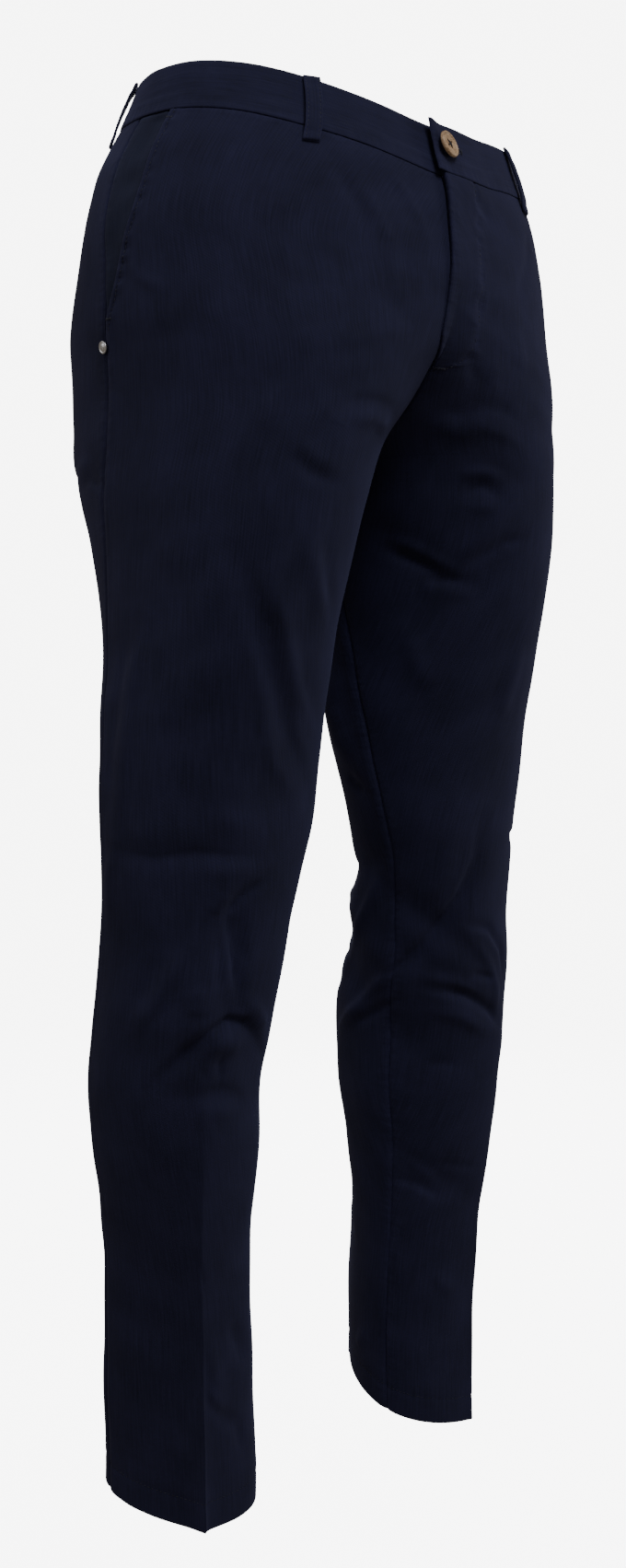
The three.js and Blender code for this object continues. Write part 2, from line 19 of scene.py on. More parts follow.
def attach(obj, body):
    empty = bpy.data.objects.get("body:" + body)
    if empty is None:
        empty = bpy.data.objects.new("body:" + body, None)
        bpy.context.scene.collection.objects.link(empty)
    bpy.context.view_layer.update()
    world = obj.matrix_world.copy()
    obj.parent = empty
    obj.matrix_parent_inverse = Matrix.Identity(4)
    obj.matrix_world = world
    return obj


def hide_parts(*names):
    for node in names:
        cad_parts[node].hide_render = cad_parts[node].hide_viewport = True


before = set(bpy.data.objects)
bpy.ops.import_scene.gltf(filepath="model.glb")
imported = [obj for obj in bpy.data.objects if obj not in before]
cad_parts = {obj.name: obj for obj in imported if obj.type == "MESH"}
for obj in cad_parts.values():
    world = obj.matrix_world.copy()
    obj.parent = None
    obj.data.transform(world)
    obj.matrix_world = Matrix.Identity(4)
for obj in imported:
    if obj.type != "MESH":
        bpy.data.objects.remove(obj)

Array = np.ndarray
MM = 0.001
LOG = logging.getLogger("trousers")
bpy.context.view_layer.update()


class Side(Enum):
    """One half of the garment, on the wearer's right or left."""

    RIGHT = -1
    LEFT = 1

    @property
    def word(self) -> str:
        """The side's name, as the nodes use it."""
        return self.name.lower()


# Heights above the wearer's heel, as in the part.
WAIST_TOP = 1055.0
WAIST_SEAM = 1020.0
ORIGIN_HEIGHT = 1037.5
CROTCH = 790.0
HEM_TURNING = 30.0
HEM_STITCH = 20.0
HEM_HANG = {Side.RIGHT: (25.5, 0.096, 0.22), Side.LEFT: (33.0, -0.16, 0.33)}
HEM_HANG_FADE = 420.0
HALF_SEAM_GAP = 0.15
INSEAM_TURN_START = 480.0
INSEAM_TURN_END = 700.0
CENTRE_DROP = 9.0
CENTRE_DROP_WIDTH = 70.0
CENTRE_DROP_FADE = 120.0
CENTRE_DROP_DEPTH = 60.0
FOLD_FADE_START = 2.0
FOLD_FADE_END = 22.0
STITCH_LIFT = 0.12

# Front fastening.
FLY_LAP = 9.0
FLY_RAISE = 1.8
FLY_TOP_RAISE = 3.2
FLY_TOP_FOOT = 885.0
FLY_TOP_FULL = 1005.0
FLY_TOP_END = 20.0
FLY_RAISE_FULL = 12.0
FLY_RAISE_END = 36.0
FLY_STITCH_REACH = 26.0
FLY_STITCH_FOOT = 2.0
FLY_FOOT = 852.0
FLY_CURVE_TOP = 884.0
WAISTBAND_LAP = 16.0
WAISTBAND_PROUD = 0.8
WAISTBAND_RAISE = 5.3
WAISTBAND_RAISE_FULL = 6.0
WAISTBAND_RAISE_END = 60.0
WAISTBAND_CORNER_LIFT = 3.0
BUTTON_X = -3.5
BUTTON_CLEARANCE = 2.7
BUTTON_SWING = 11.0

# Belt loops, by their angle round the waist.
LOOP_ANGLES = {"front": 128.2, "hip": 207.0}

# Slanted front pockets.
POCKET_FOOT = 862.0
RIVET_HEIGHT = 853.0
RIVET_BEHIND_SEAM = 0.3
FACING_START = 872.0
FACING_UNDERLAP = 12.0
FACING_DEPTH = 2.2
FACING_THICKNESS = 1.2
SEAM_SINK = 2.9

# Behind the fly: the shield and the zip, by their edges, foot, depth and thickness.
SHIELD_EDGES = (-14.0, 28.0)
SHIELD_FOOT = 876.0
SHIELD_DEPTH = 2.8
SHIELD_THICKNESS = 1.2
ZIP_EDGES = (0.6, 12.0)
ZIP_FOOT = 880.0
ZIP_DEPTH = 0.4
ZIP_THICKNESS = 1.0
COIL_PITCH = 1.5


def ramp(start: float, end: float, value: Array) -> Array:
    """A smooth step from 0 at start to 1 at end.

    Args:
        start: where the step begins.
        end: where it ends.
        value: the values to read it at.

    Returns:
        The step's height at each value.
    """
    t = np.clip((np.asarray(value, float) - start) / (end - start), 0.0, 1.0)
    return t * t * (3.0 - 2.0 * t)


def bell(distance: Array, width: float) -> Array:
    """A round hump of height 1, falling off over width."""
    return np.exp(-np.square(np.asarray(distance, float) / width))


class CurveTable:
    """Named columns of values by height, read at any height along a smooth curve."""

    def __init__(self, columns: Sequence[str], rows: Sequence[Sequence[float]]) -> None:
        """Keeps the rows and works out each column's slopes.

        Args:
            columns: the names, with height first.
            rows: one row of values for each height, from the bottom up.
        """
        table = np.array(rows, float)
        self.heights = table[:, 0]
        self.values = {name: table[:, i] for i, name in enumerate(columns)}
        before = np.maximum(np.arange(len(table)) - 1, 0)
        after = np.minimum(np.arange(len(table)) + 1, len(table) - 1)
        run = self.heights[after] - self.heights[before]
        self.slopes = {name: (v[after] - v[before]) / run for name, v in self.values.items()}

    def read(self, name: str, height: Array) -> Array:
        """The named column's value at each height."""
        h = np.clip(height, self.heights[0], self.heights[-1])
        i = np.clip(np.searchsorted(self.heights, h, side="right") - 1, 0, len(self.heights) - 2)
        step = self.heights[i + 1] - self.heights[i]
        t = (h - self.heights[i]) / step
        v, m = self.values[name], self.slopes[name]
        low = (2 * t**3 - 3 * t**2 + 1) * v[i] + (t**3 - 2 * t**2 + t) * step * m[i]
        high = (3 * t**2 - 2 * t**3) * v[i + 1] + (t**3 - t**2) * step * m[i + 1]
        return low + high


SECTION = CurveTable(
    ("height", "inner", "outer", "middle_y", "front", "back", "turn", "seam", "tilt"),
    (
        (0, 67.9, 178.2, 31.8, 52.5, 52.5, 24, -6, 0),
        (80, 68.9, 179.3, 32.3, 52.6, 52.6, 23, -3, 0),
        (160, 73.5, 180.7, 30.2, 54.6, 54.6, 22, 0, 0),
        (200, 74.5, 182.7, 29.7, 58.3, 59.3, 22, 2, 0),
        (240, 72.4, 186.8, 29.2, 63, 65, 22, 3, 0),
        (280, 69.5, 191.8, 29.7, 68.8, 69.8, 21, 4, 0),
        (330, 68.8, 194.8, 28.6, 71.1, 72.1, 21, 6, 0),
        (360, 65, 194.7, 24.6, 70.7, 71.7, 20, 7, 0),
        (400, 62, 195, 17, 67.2, 68.2, 20, 8, 0),
        (440, 56.5, 196, 11, 62.5, 62.5, 18, 9, 0),
        (480, 49.5, 198.5, 6, 62, 63, 17, 10, 0),
        (520, 41, 200.5, 4.5, 66, 67, 15, 11, 0),
        (560, 36, 198.5, 5.5, 75, 75, 13, 12, 0),
        (600, 32.5, 195.5, 5.5, 84, 84, 12, 13, 0),
        (640, 31, 191.5, 4.5, 94, 95, 10, 15, 0),
        (680, 27, 190.5, 5, 106, 106, 8, 15, 0),
        (720, 20, 192, 6.5, 116, 117, 5, 13, 0),
        (750, 12, 194, 9, 124, 126, 3, 11, 0),
        (790, 0, 195, 11, 132, 136, 0, 8, 0),
        (820, -26, 196, 12, 136, 141, 0, 6, 0.03),
        (850, -56, 200, 12, 139, 145, 0, 4, 0.05),
        (870, -86, 204, 11, 139, 147, 0, 3, 0.08),
        (900, -140, 206, 9, 138, 146, 0, 2, 0.11),
        (940, -206, 206, 5.5, 137, 141, 0, 4, 0.16),
        (980, -197, 197, 4.5, 133, 135, 0, 4, 0.21),
        (1005, -186, 186, 2, 128, 130, 0, 4, 0.24),
        (1020, -179, 179, 0, 122, 125, 0, 4, 0.26),
        (1055, -167.5, 167.5, 0, 110, 105, 0, 4, 0.26),
    ),
)
# How far each leg ring is pinched from an ellipse to a lens, pointed at its pressed creases.
PINCH = CurveTable(
    ("height", "power"),
    (
        (0, 0.62), (80, 0.58), (160, 0.5), (200, 0.44), (240, 0.36), (280, 0.28), (330, 0.16), (360, 0.1),
        (400, 0.04), (440, 0),
    ),
)
PINCH_ROUNDING = 0.25
# How far the waist ring stands over its tilted plane at each distance to the back.
WAIST_TILT = 0.26
WAIST_LINE = CurveTable(
    ("y", "rise"),
    ((-125, 3), (-97, 4.2), (-65, 5.4), (-32, 2), (-5, -3.5), (25, -9), (55, -11), (90, -9.5), (125, -7.5)),
)
POCKET_MOUTH = CurveTable(
    ("height", "width"),
    ((POCKET_FOOT, 0), (885, 8), (910, 17), (945, 30), (975, 33.5), (WAIST_SEAM, 31.5)),
)
CREASE = CurveTable(
    ("height", "rise"),
    ((0, 7), (110, 4.5), (200, 2.2), (340, 0.8), (480, 0.5), (650, 1), (800, 0.5), (860, 0)),
)
CREASE_WIDTH = 9.0
CREASE_SHARE = {Side.RIGHT: 1.0, Side.LEFT: 0.4}


@dataclass(frozen=True)
class Fold:
    """One fold of the cloth: a line on the form with a soft ridge or trough along it.

    Attributes:
        path: points of the line, each a height and an angle in degrees round the leg.
        width: how far it reaches to either side.
        depth: its height, positive for a ridge and negative for a trough.
        lean: how much steeper one side is than the other, from -0.7 to 0.7.
    """

    path: tuple[tuple[float, float], ...]
    width: float
    depth: float
    lean: float = 0.0

    def rise(self, height: Array, degrees: Array, rate: Array) -> Array:
        """How far the fold moves the cloth at each point.

        Args:
            height: the points' heights.
            degrees: their angles round the leg, in degrees.
            rate: distance round the leg for each radian there.

        Returns:
            The rise in millimetres.
        """
        first = self.path[0][1]
        turned = np.mod(degrees - first + 180.0, 360.0) - 180.0
        best = np.full(height.shape, 1e9)
        along = np.zeros(height.shape)
        handed = np.ones(height.shape)
        last = len(self.path) - 1
        for i in range(last):
            (h0, a0), (h1, a1) = self.path[i], self.path[i + 1]
            u0 = np.radians(a0 - first - turned) * rate
            u1 = np.radians(a1 - first - turned) * rate
            v0, v1 = h0 - height, h1 - height
            du, dv = u1 - u0, v1 - v0
            t = np.clip(-(u0 * du + v0 * dv) / (du * du + dv * dv + 1e-9), 0.0, 1.0)
            gap = np.hypot(u0 + du * t, v0 + dv * t)
            nearer = gap < best
            best = np.where(nearer, gap, best)
            along = np.where(nearer, (i + t) / last, along)
            handed = np.where(nearer, np.sign(u0 * dv - v0 * du), handed)
        reach = self.width * (1.0 + self.lean * handed)
        taper = 0.25 + 0.75 * ramp(0.0, 0.3, along) * ramp(0.0, 0.3, 1.0 - along)
        return self.depth * taper * np.exp(-np.square(best / reach))


# The broad folds of the part: height, angle, length, width, slant in degrees, depth.
BROAD_FOLDS = {
    Side.RIGHT: (
        (497, 122, 60, 8, 0, -2),
        (512, 122, 60, 10, 0, 1.5),
        (478, 92, 16, 14, 0, 4),
        (425, 84, 60, 10, 86, -5),
        (415, 108, 50, 13, 80, 3.5),
        (372, 88, 40, 12, 8, 5),
        (355, 60, 34, 11, 52, -4.5),
        (328, 90, 45, 9, 6, -3),
        (648, 108, 90, 13, 62, -4),
        (655, 84, 85, 13, 64, -3.5),
        (660, 132, 80, 14, 60, 3),
        (470, 300, 60, 12, -12, -5),
        (440, 285, 60, 12, 10, 4.5),
        (410, 280, 55, 12, -6, -5),
        (380, 270, 50, 12, 8, 4),
        (765, 265, 70, 13, 22, -4),
        (735, 285, 60, 13, 30, 3),
    ),
    Side.LEFT: (
        (772, 70, 45, 10, 5, -3),
        (712, 32, 50, 12, -35, -4),
        (708, 62, 50, 12, 40, -4),
        (432, 25, 70, 13, -38, -6),
        (372, 335, 60, 13, -42, -5),
        (404, 350, 55, 14, -38, 5),
        (355, 342, 35, 10, 40, 3.5),
        (366, 58, 50, 11, -38, -4.5),
        (345, 70, 45, 11, -30, 3.5),
        (212, 32, 50, 11, -28, -3),
        (470, 300, 60, 12, 12, -5),
        (440, 285, 60, 12, -10, 4),
        (415, 278, 55, 12, 6, -4.5),
        (770, 275, 70, 13, -22, -4),
        (740, 255, 60, 13, -30, 3),
    ),
}
BROAD_SHARE = 0.6

# The finer folds: where they lie, how wide and how deep, and which side is steeper.
FINE_FOLDS = {
    Side.RIGHT: (
        Fold(((705, 126), (659, 106), (612, 87), (571, 70), (539, 47)), 8, -3.2, 0.2),
        Fold(((697, 133), (650, 113), (605, 95), (562, 83), (527, 58)), 6, 2.0),
        Fold(((690, 112), (656, 96), (612, 76), (584, 56)), 6, 1.8),
        Fold(((710, 93), (687, 83), (660, 69)), 6, 1.8),
        Fold(((716, 84), (690, 75), (668, 62)), 6, -1.5),
        Fold(((713, 158), (692, 152)), 4, 1.0),
        Fold(((661, 162), (630, 165), (584, 163), (540, 163), (509, 165)), 8, 2.2, 0.3),
        Fold(((655, 174), (590, 176), (535, 175)), 7, -1.6),
        Fold(((505, 166), (480, 174), (450, 173)), 7, 1.6),
        Fold(((500, 160), (495, 137), (500, 115), (497, 98), (495, 80)), 4, -0.8, 0.4),
        Fold(((524, 114), (521, 96), (516, 82)), 9, 1.6),
        Fold(((486, 112), (488, 91), (486, 80)), 7, 1.8),
        Fold(((480, 70), (466, 86), (456, 93)), 4.5, -3.2, 0.3),
        Fold(((456, 103), (471, 93)), 5, 2.2),
        Fold(((458, 93), (445, 90), (420, 82), (391, 74)), 4.5, -3.4, -0.3),
        Fold(((446, 97), (420, 93), (398, 90)), 3.2, -1.6),
        Fold(((456, 84), (434, 80), (415, 72)), 3.2, -1.4),
        Fold(((452, 88), (425, 87), (404, 84)), 4, 1.5),
        Fold(
            ((340, 124), (350, 116), (360, 109), (368, 102), (376, 93), (381, 82), (378, 68), (368, 58), (348, 38)),
            5.5, -4.8, 0.35,
        ),
        Fold(((394, 70), (383, 57), (372, 48)), 6, 3.0),
        Fold(((362, 96), (364, 82), (360, 66)), 8, 2.6),
        Fold(((356, 84), (338, 79)), 3, -1.5),
        Fold(((348, 95), (339, 92)), 3, -1.1),
        Fold(((435, 114), (414, 121), (393, 130), (373, 141)), 7, 2.4, 0.3),
        Fold(((430, 126), (408, 134), (388, 145)), 7, -1.5),
        Fold(((408, 108), (396, 103), (384, 104)), 8, 2.0),
        Fold(((328, 96), (331, 77), (325, 60), (313, 50)), 6, -1.2, 0.3),
        Fold(((316, 84), (314, 66)), 6, 1.4),
        Fold(((1012, 126), (981, 119), (961, 114), (938, 115)), 7, -1.2),
        Fold(((990, 117), (961, 111), (923, 105), (902, 99)), 6, 1.1),
        Fold(((1003, 109), (990, 104), (968, 100), (943, 98)), 5, 0.9),
        Fold(((848, 110), (862, 97), (874, 86)), 8, 1.2),
        Fold(((898, 104), (884, 92), (872, 84)), 7, -1.2),
        Fold(((802, 99), (811, 92), (813, 82), (811, 68)), 8, -1.7, 0.3),
        Fold(((795, 96), (801, 78), (796, 62)), 7, 2.0),
        Fold(((769, 114), (756, 101), (751, 87)), 5, -1.7),
        Fold(((779, 112), (767, 104), (762, 92)), 5, 1.2),
        Fold(((762, 216), (766, 200), (757, 189)), 3.5, -1.8),
        Fold(((774, 214), (776, 199)), 6, 1.4),
        Fold(((910, 172), (896, 168), (884, 160)), 4, 1.1),
        Fold(((204, 93), (179, 87)), 4, -1.3),
        Fold(((146, 80), (116, 72), (89, 62)), 8, 1.8),
        Fold(((150, 54), (130, 44), (112, 33)), 7, -2.6),
        Fold(((104, 80), (93, 70), (82, 58)), 5, 1.8),
        Fold(((92, 76), (68, 46), (44, 36)), 6, -2.2),
        Fold(((478, 330), (468, 300), (474, 262), (466, 232)), 5, -3.0, 0.3),
        Fold(((456, 322), (444, 290), (452, 250)), 5, 2.2),
        Fold(((430, 318), (424, 292), (433, 262), (428, 236)), 5, -3.0, -0.3),
        Fold(((402, 300), (395, 270), (404, 240)), 5, -2.2),
        Fold(((372, 310), (378, 280), (369, 252)), 6, -2.4),
        Fold(((776, 300), (758, 276), (765, 240), (782, 214)), 6, -2.4, 0.3),
        Fold(((742, 310), (728, 284), (722, 258)), 7, 2.0),
        Fold(((700, 318), (686, 292), (664, 262)), 8, -2.0),
        Fold(((636, 232), (590, 244), (548, 252)), 8, 1.8),
        Fold(((905, 236), (880, 262), (850, 280)), 10, -1.5),
        Fold(((170, 262), (140, 285), (118, 308)), 7, -1.8),
    ),
    Side.LEFT: (
        Fold(((731, 18), (724, 27), (713, 37), (704, 46)), 5, 2.2),
        Fold(((722, 16), (712, 28), (702, 39)), 4.5, -2.0, 0.3),
        Fold(((713, 48), (725, 54), (738, 63), (753, 75)), 5, 1.6),
        Fold(((704, 48), (716, 58), (726, 70), (731, 83)), 4.5, -2.1, 0.3),
        Fold(((699, 30), (698, 49)), 4, -2.0),
        Fold(((690, 36), (688, 54)), 6, 1.6),
        Fold(((699, 28), (680, 27)), 3.5, -1.5),
        Fold(((662, 20), (638, 25), (612, 33)), 8, 1.8),
        Fold(((659, 86), (617, 79), (590, 74)), 8, 2.0),
        Fold(((640, 338), (606, 328), (580, 330), (560, 345)), 15, 6.0),
        Fold(((548, 330), (535, 346)), 6, -2.6),
        Fold(((470, 348), (435, 332), (400, 312)), 6, 2.8),
        Fold(((514, 66), (480, 61), (453, 49), (438, 39), (418, 23), (396, 6), (386, -4)), 6.5, -4.2, 0.35),
        Fold(((500, 46), (470, 36), (446, 20)), 8, 2.0),
        Fold(((394, 8), (377, -12), (355, -26), (332, -47)), 6, 3.2),
        Fold(((366, 4), (350, -14), (336, -30)), 5, -2.4),
        Fold(((428, 55), (423, 73), (404, 88), (380, 93)), 4.5, -2.8, 0.3),
        Fold(((418, 56), (396, 70), (374, 81), (352, 83)), 5, 2.0),
        Fold(((388, 55), (382, 77)), 3.5, -2.2),
        Fold(((376, 24), (370, 50), (354, 74), (343, 84)), 4.5, -3.4, 0.3),
        Fold(((388, 16), (382, 42), (370, 62)), 5, 2.2),
        Fold(((358, 28), (352, 48), (338, 66)), 6, 1.8),
        Fold(((311, 24), (312, 46)), 5, -1.1),
        Fold(((203, 2), (201, 21), (192, 40)), 4.5, -2.0, 0.3),
        Fold(((224, 33), (222, 52), (220, 69)), 4, -1.2),
        Fold(((223, 9), (214, 24), (207, 36)), 5, 1.4),
        Fold(((126, 37), (108, 57)), 5, 1.0),
        Fold(((54, 338), (30, 324)), 5, 1.8),
        Fold(((822, 50), (820, 61), (827, 71), (826, 80), (818, 86)), 7, -1.7, 0.2),
        Fold(((812, 50), (806, 57), (812, 66), (808, 76), (799, 83)), 7, 1.5),
        Fold(((775, 52), (778, 63), (772, 73)), 4.5, 1.8),
        Fold(((761, 53), (768, 61), (759, 70)), 4, -2.2),
        Fold(((752, 54), (752, 66)), 4, 1.1),
        Fold(((1014, 97), (1000, 100), (986, 104)), 4, -0.9),
        Fold(((944, 92), (980, 92), (1014, 94)), 4, 0.7),
        Fold(((893, 76), (902, 82), (887, 83)), 4, 1.3),
        Fold(((872, 76), (858, 72), (842, 70)), 4, -1.4),
        Fold(((866, 84), (850, 78), (838, 77)), 4, 1.0),
        Fold(((900, 104), (876, 98), (858, 92)), 7, 1.2),
        Fold(((1000, 128), (960, 120), (920, 110)), 7, -1.0),
        Fold(((476, 306), (466, 288), (473, 264), (462, 234)), 5, -3.0, 0.3),
        Fold(((452, 304), (446, 284), (440, 256)), 5, 2.0),
        Fold(((428, 302), (420, 280), (428, 252)), 5, -2.8, -0.3),
        Fold(((398, 306), (404, 272), (394, 244)), 5, -2.2),
        Fold(((374, 300), (366, 270)), 6, -2.0),
        Fold(((780, 300), (764, 272), (768, 238), (780, 212)), 6, -2.4, 0.3),
        Fold(((744, 312), (730, 280), (736, 250)), 7, 2.0),
        Fold(((704, 316), (684, 286), (668, 262)), 8, -2.0),
        Fold(((640, 236), (600, 246), (552, 256)), 8, 1.6),
        Fold(((500, 150), (496, 126), (500, 104)), 5, -2.4, 0.3),
        Fold(((620, 150), (580, 142), (548, 128)), 8, -1.8),
        Fold(((905, 232), (878, 258), (852, 276)), 10, -1.5),
        Fold(((172, 258), (142, 282), (120, 306)), 7, -1.8),
    ),
}


class TrouserForm:
    """The form that every piece of cloth lies on: level rings, one for each height."""

    def ellipse(self, height: Array, back: Array) -> tuple[Array, Array, Array, Array]:
        """The middle, half width, half depth and turn of the ring at each height."""
        outer = SECTION.read("outer", height)
        inner = np.maximum(SECTION.read("inner", height), -outer) + HALF_SEAM_GAP
        depth = np.where(back, SECTION.read("back", height), SECTION.read("front", height))
        return (outer + inner) / 2, (outer - inner) / 2, depth, np.radians(SECTION.read("turn", height))

    def edge_angle(self, height: Array, x: Array, back: bool) -> Array:
        """The angle where a ring meets the plane at x, or the inseam where it doesn't reach it.

        Args:
            height: the rings' heights.
            x: distance from the middle plane.
            back: whether the meeting at the back is meant.

        Returns:
            The angles in radians.
        """
        middle, width, depth, turn = self.ellipse(height, np.full(np.shape(height), back))
        reach = np.hypot(width * np.cos(turn), depth * np.sin(turn))
        lean = np.arctan2(depth * np.sin(turn), width * np.cos(turn))
        meets = middle - x < reach
        opened = np.arccos(np.clip((middle - x) / reach, -1.0, 1.0))
        inseam = -lean * ramp(INSEAM_TURN_START, INSEAM_TURN_END, height)
        if back:
            return np.where(meets, 2 * math.pi - opened - lean, 2 * math.pi + inseam)
        return np.where(meets, opened - lean, inseam)

    def side_seam(self, height: Array) -> Array:
        """The angle of the side seam."""
        return math.pi + np.radians(SECTION.read("seam", height))

    def arc_rate(self, height: Array, angle: Array) -> Array:
        """Distance round the ring for each radian at this angle."""
        _, width, depth, _ = self.ellipse(height, np.sin(angle) < 0)
        return np.hypot(width * np.sin(angle), depth * np.cos(angle))

    def point(self, side: Side, height: Array, angle: Array) -> Array:
        """Points of the bare form, with the outward side at +X before the side's sign is applied."""
        middle, width, depth, turn = self.ellipse(height, np.sin(angle) < 0)
        level = np.cos(angle)
        lens = (level * level + PINCH_ROUNDING**2) ** (PINCH.read("power", height) / 2)
        across = -width * level * lens
        deep = -depth * np.sin(angle)
        x = middle + across * np.cos(turn) - deep * np.sin(turn)
        middle_y = SECTION.read("middle_y", height)
        y = middle_y + across * np.sin(turn) + deep * np.cos(turn)
        hang, outwards, back = HEM_HANG[side]
        fade = 1 - ramp(0, HEM_HANG_FADE, height)
        rise = fade * (hang + outwards * (x - middle) + back * (y - middle_y))
        drop = CENTRE_DROP * bell(x, CENTRE_DROP_WIDTH) * ramp(0, CENTRE_DROP_DEPTH, -y)
        drop = drop * ramp(WAIST_SEAM - CENTRE_DROP_FADE, WAIST_SEAM, height)
        tilt = SECTION.read("tilt", height)
        lean = tilt * y + tilt / WAIST_TILT * WAIST_LINE.read("rise", y)
        z = height - ORIGIN_HEIGHT + lean + rise - drop
        return np.stack((side.value * x, y, z), axis=-1)

    def normal(self, side: Side, height: Array, angle: Array) -> Array:
        """Outward unit normals of the bare form."""
        round_it = self.point(side, height, angle + 0.002) - self.point(side, height, angle - 0.002)
        upward = self.point(side, height + 0.5, angle) - self.point(side, height - 0.5, angle)
        normal = np.cross(round_it, upward) * side.value
        return normal / np.linalg.norm(normal, axis=-1, keepdims=True)

    def fold_rise(self, side: Side, height: Array, angle: Array) -> Array:
        """How far creases and folds move the cloth off the bare form."""
        degrees = np.degrees(angle)
        rate = self.arc_rate(height, angle)
        seam = self.side_seam(height)
        rise = np.zeros(np.shape(height))
        for back in (False, True):
            middle = (self.edge_angle(height, np.zeros_like(height), back) + seam) / 2
            gap = np.abs(angle - middle) * rate
            rise += CREASE_SHARE[side] * CREASE.read("rise", height) * np.exp(-gap / CREASE_WIDTH)
            rise += 0.5 * bell(gap, 1.6) * ramp(300, 60, height)
        for at, around, length, width, slant, depth in BROAD_FOLDS[side]:
            round_it = np.radians(np.mod(degrees - around + 180, 360) - 180) * rate
            up = height - at
            lean = math.radians(slant)
            along = round_it * math.cos(lean) + up * math.sin(lean)
            across = -round_it * math.sin(lean) + up * math.cos(lean)
            rise += BROAD_SHARE * depth * bell(along, length) * bell(across, width)
        for fold in FINE_FOLDS[side]:
            rise += fold.rise(height, degrees, rate)
        slack = 0.35 + 0.4 * ramp(900, 700, height)
        arc = angle * rate
        wave = np.sin(height / 21 + 2.2 * np.sin(arc / 37))
        rise += slack * wave * np.sin(arc / 26 + 1.3 * np.sin(height / 33))
        return rise

    def cloth(self, side: Side, height: Array, angle: Array, lift: Array) -> Array:
        """Points of the cloth, lifted off the form, with folds that fade at the middle plane."""
        point = self.point(side, height, angle)
        fade = ramp(FOLD_FADE_START, FOLD_FADE_END, np.abs(point[..., 0]))
        rise = self.fold_rise(side, height, angle) * fade + lift
        point = point + self.normal(side, height, angle) * rise[..., None]
        point[..., 0] = side.value * np.maximum(side.value * point[..., 0], HALF_SEAM_GAP)
        return point

    def front_at(self, x: Array, height: Array, lift: Array) -> Array:
        """Points of the front at signed distances from the middle plane, lifted off the form."""
        angle = self.edge_angle(height, np.abs(x), False)
        point = self.point(Side.LEFT, height, angle)
        point = point + self.normal(Side.LEFT, height, angle) * np.asarray(lift)[..., None]
        point[..., 0] *= np.where(x < 0, -1.0, 1.0)
        return point


FORM = TrouserForm()


def linear(code: str, alpha: float = 1.0) -> tuple[float, float, float, float]:
    """Turns an sRGB hex colour to the linear values that a shader takes."""
    parts = [int(code[i : i + 2], 16) / 255 for i in (1, 3, 5)]
    flat = [c / 12.92 if c <= 0.04045 else ((c + 0.055) / 1.055) ** 2.4 for c in parts]
    return (flat[0], flat[1], flat[2], alpha)


def add_node(
    material: bpy.types.Material,
    kind: str,
    settings: dict[str, object] | None = None,
    **inputs: object,
) -> bpy.types.Node:
    """Adds a shader node with its settings, and its inputs' values or links.

    Args:
        material: the material whose tree it joins.
        kind: the node's type name.
        settings: attributes to set on the node.
        inputs: for each input, a value or an output socket. An underscore stands for a space.

    Returns:
        The new node.
    """
    node = material.node_tree.nodes.new(kind)
    for name, value in (settings or {}).items():
        setattr(node, name, value)
    for name, value in inputs.items():
        socket = node.inputs[int(name[1:])] if name[1:].isdigit() else node.inputs[name.replace("_", " ")]
        if isinstance(value, bpy.types.NodeSocket):
            material.node_tree.links.new(value, socket)
        else:
            socket.default_value = value
    return node


def new_material(name: str) -> bpy.types.Material:
    """An empty node material."""
    material = bpy.data.materials.new(name)
    material.use_nodes = True
    material.node_tree.nodes.clear()
    return material


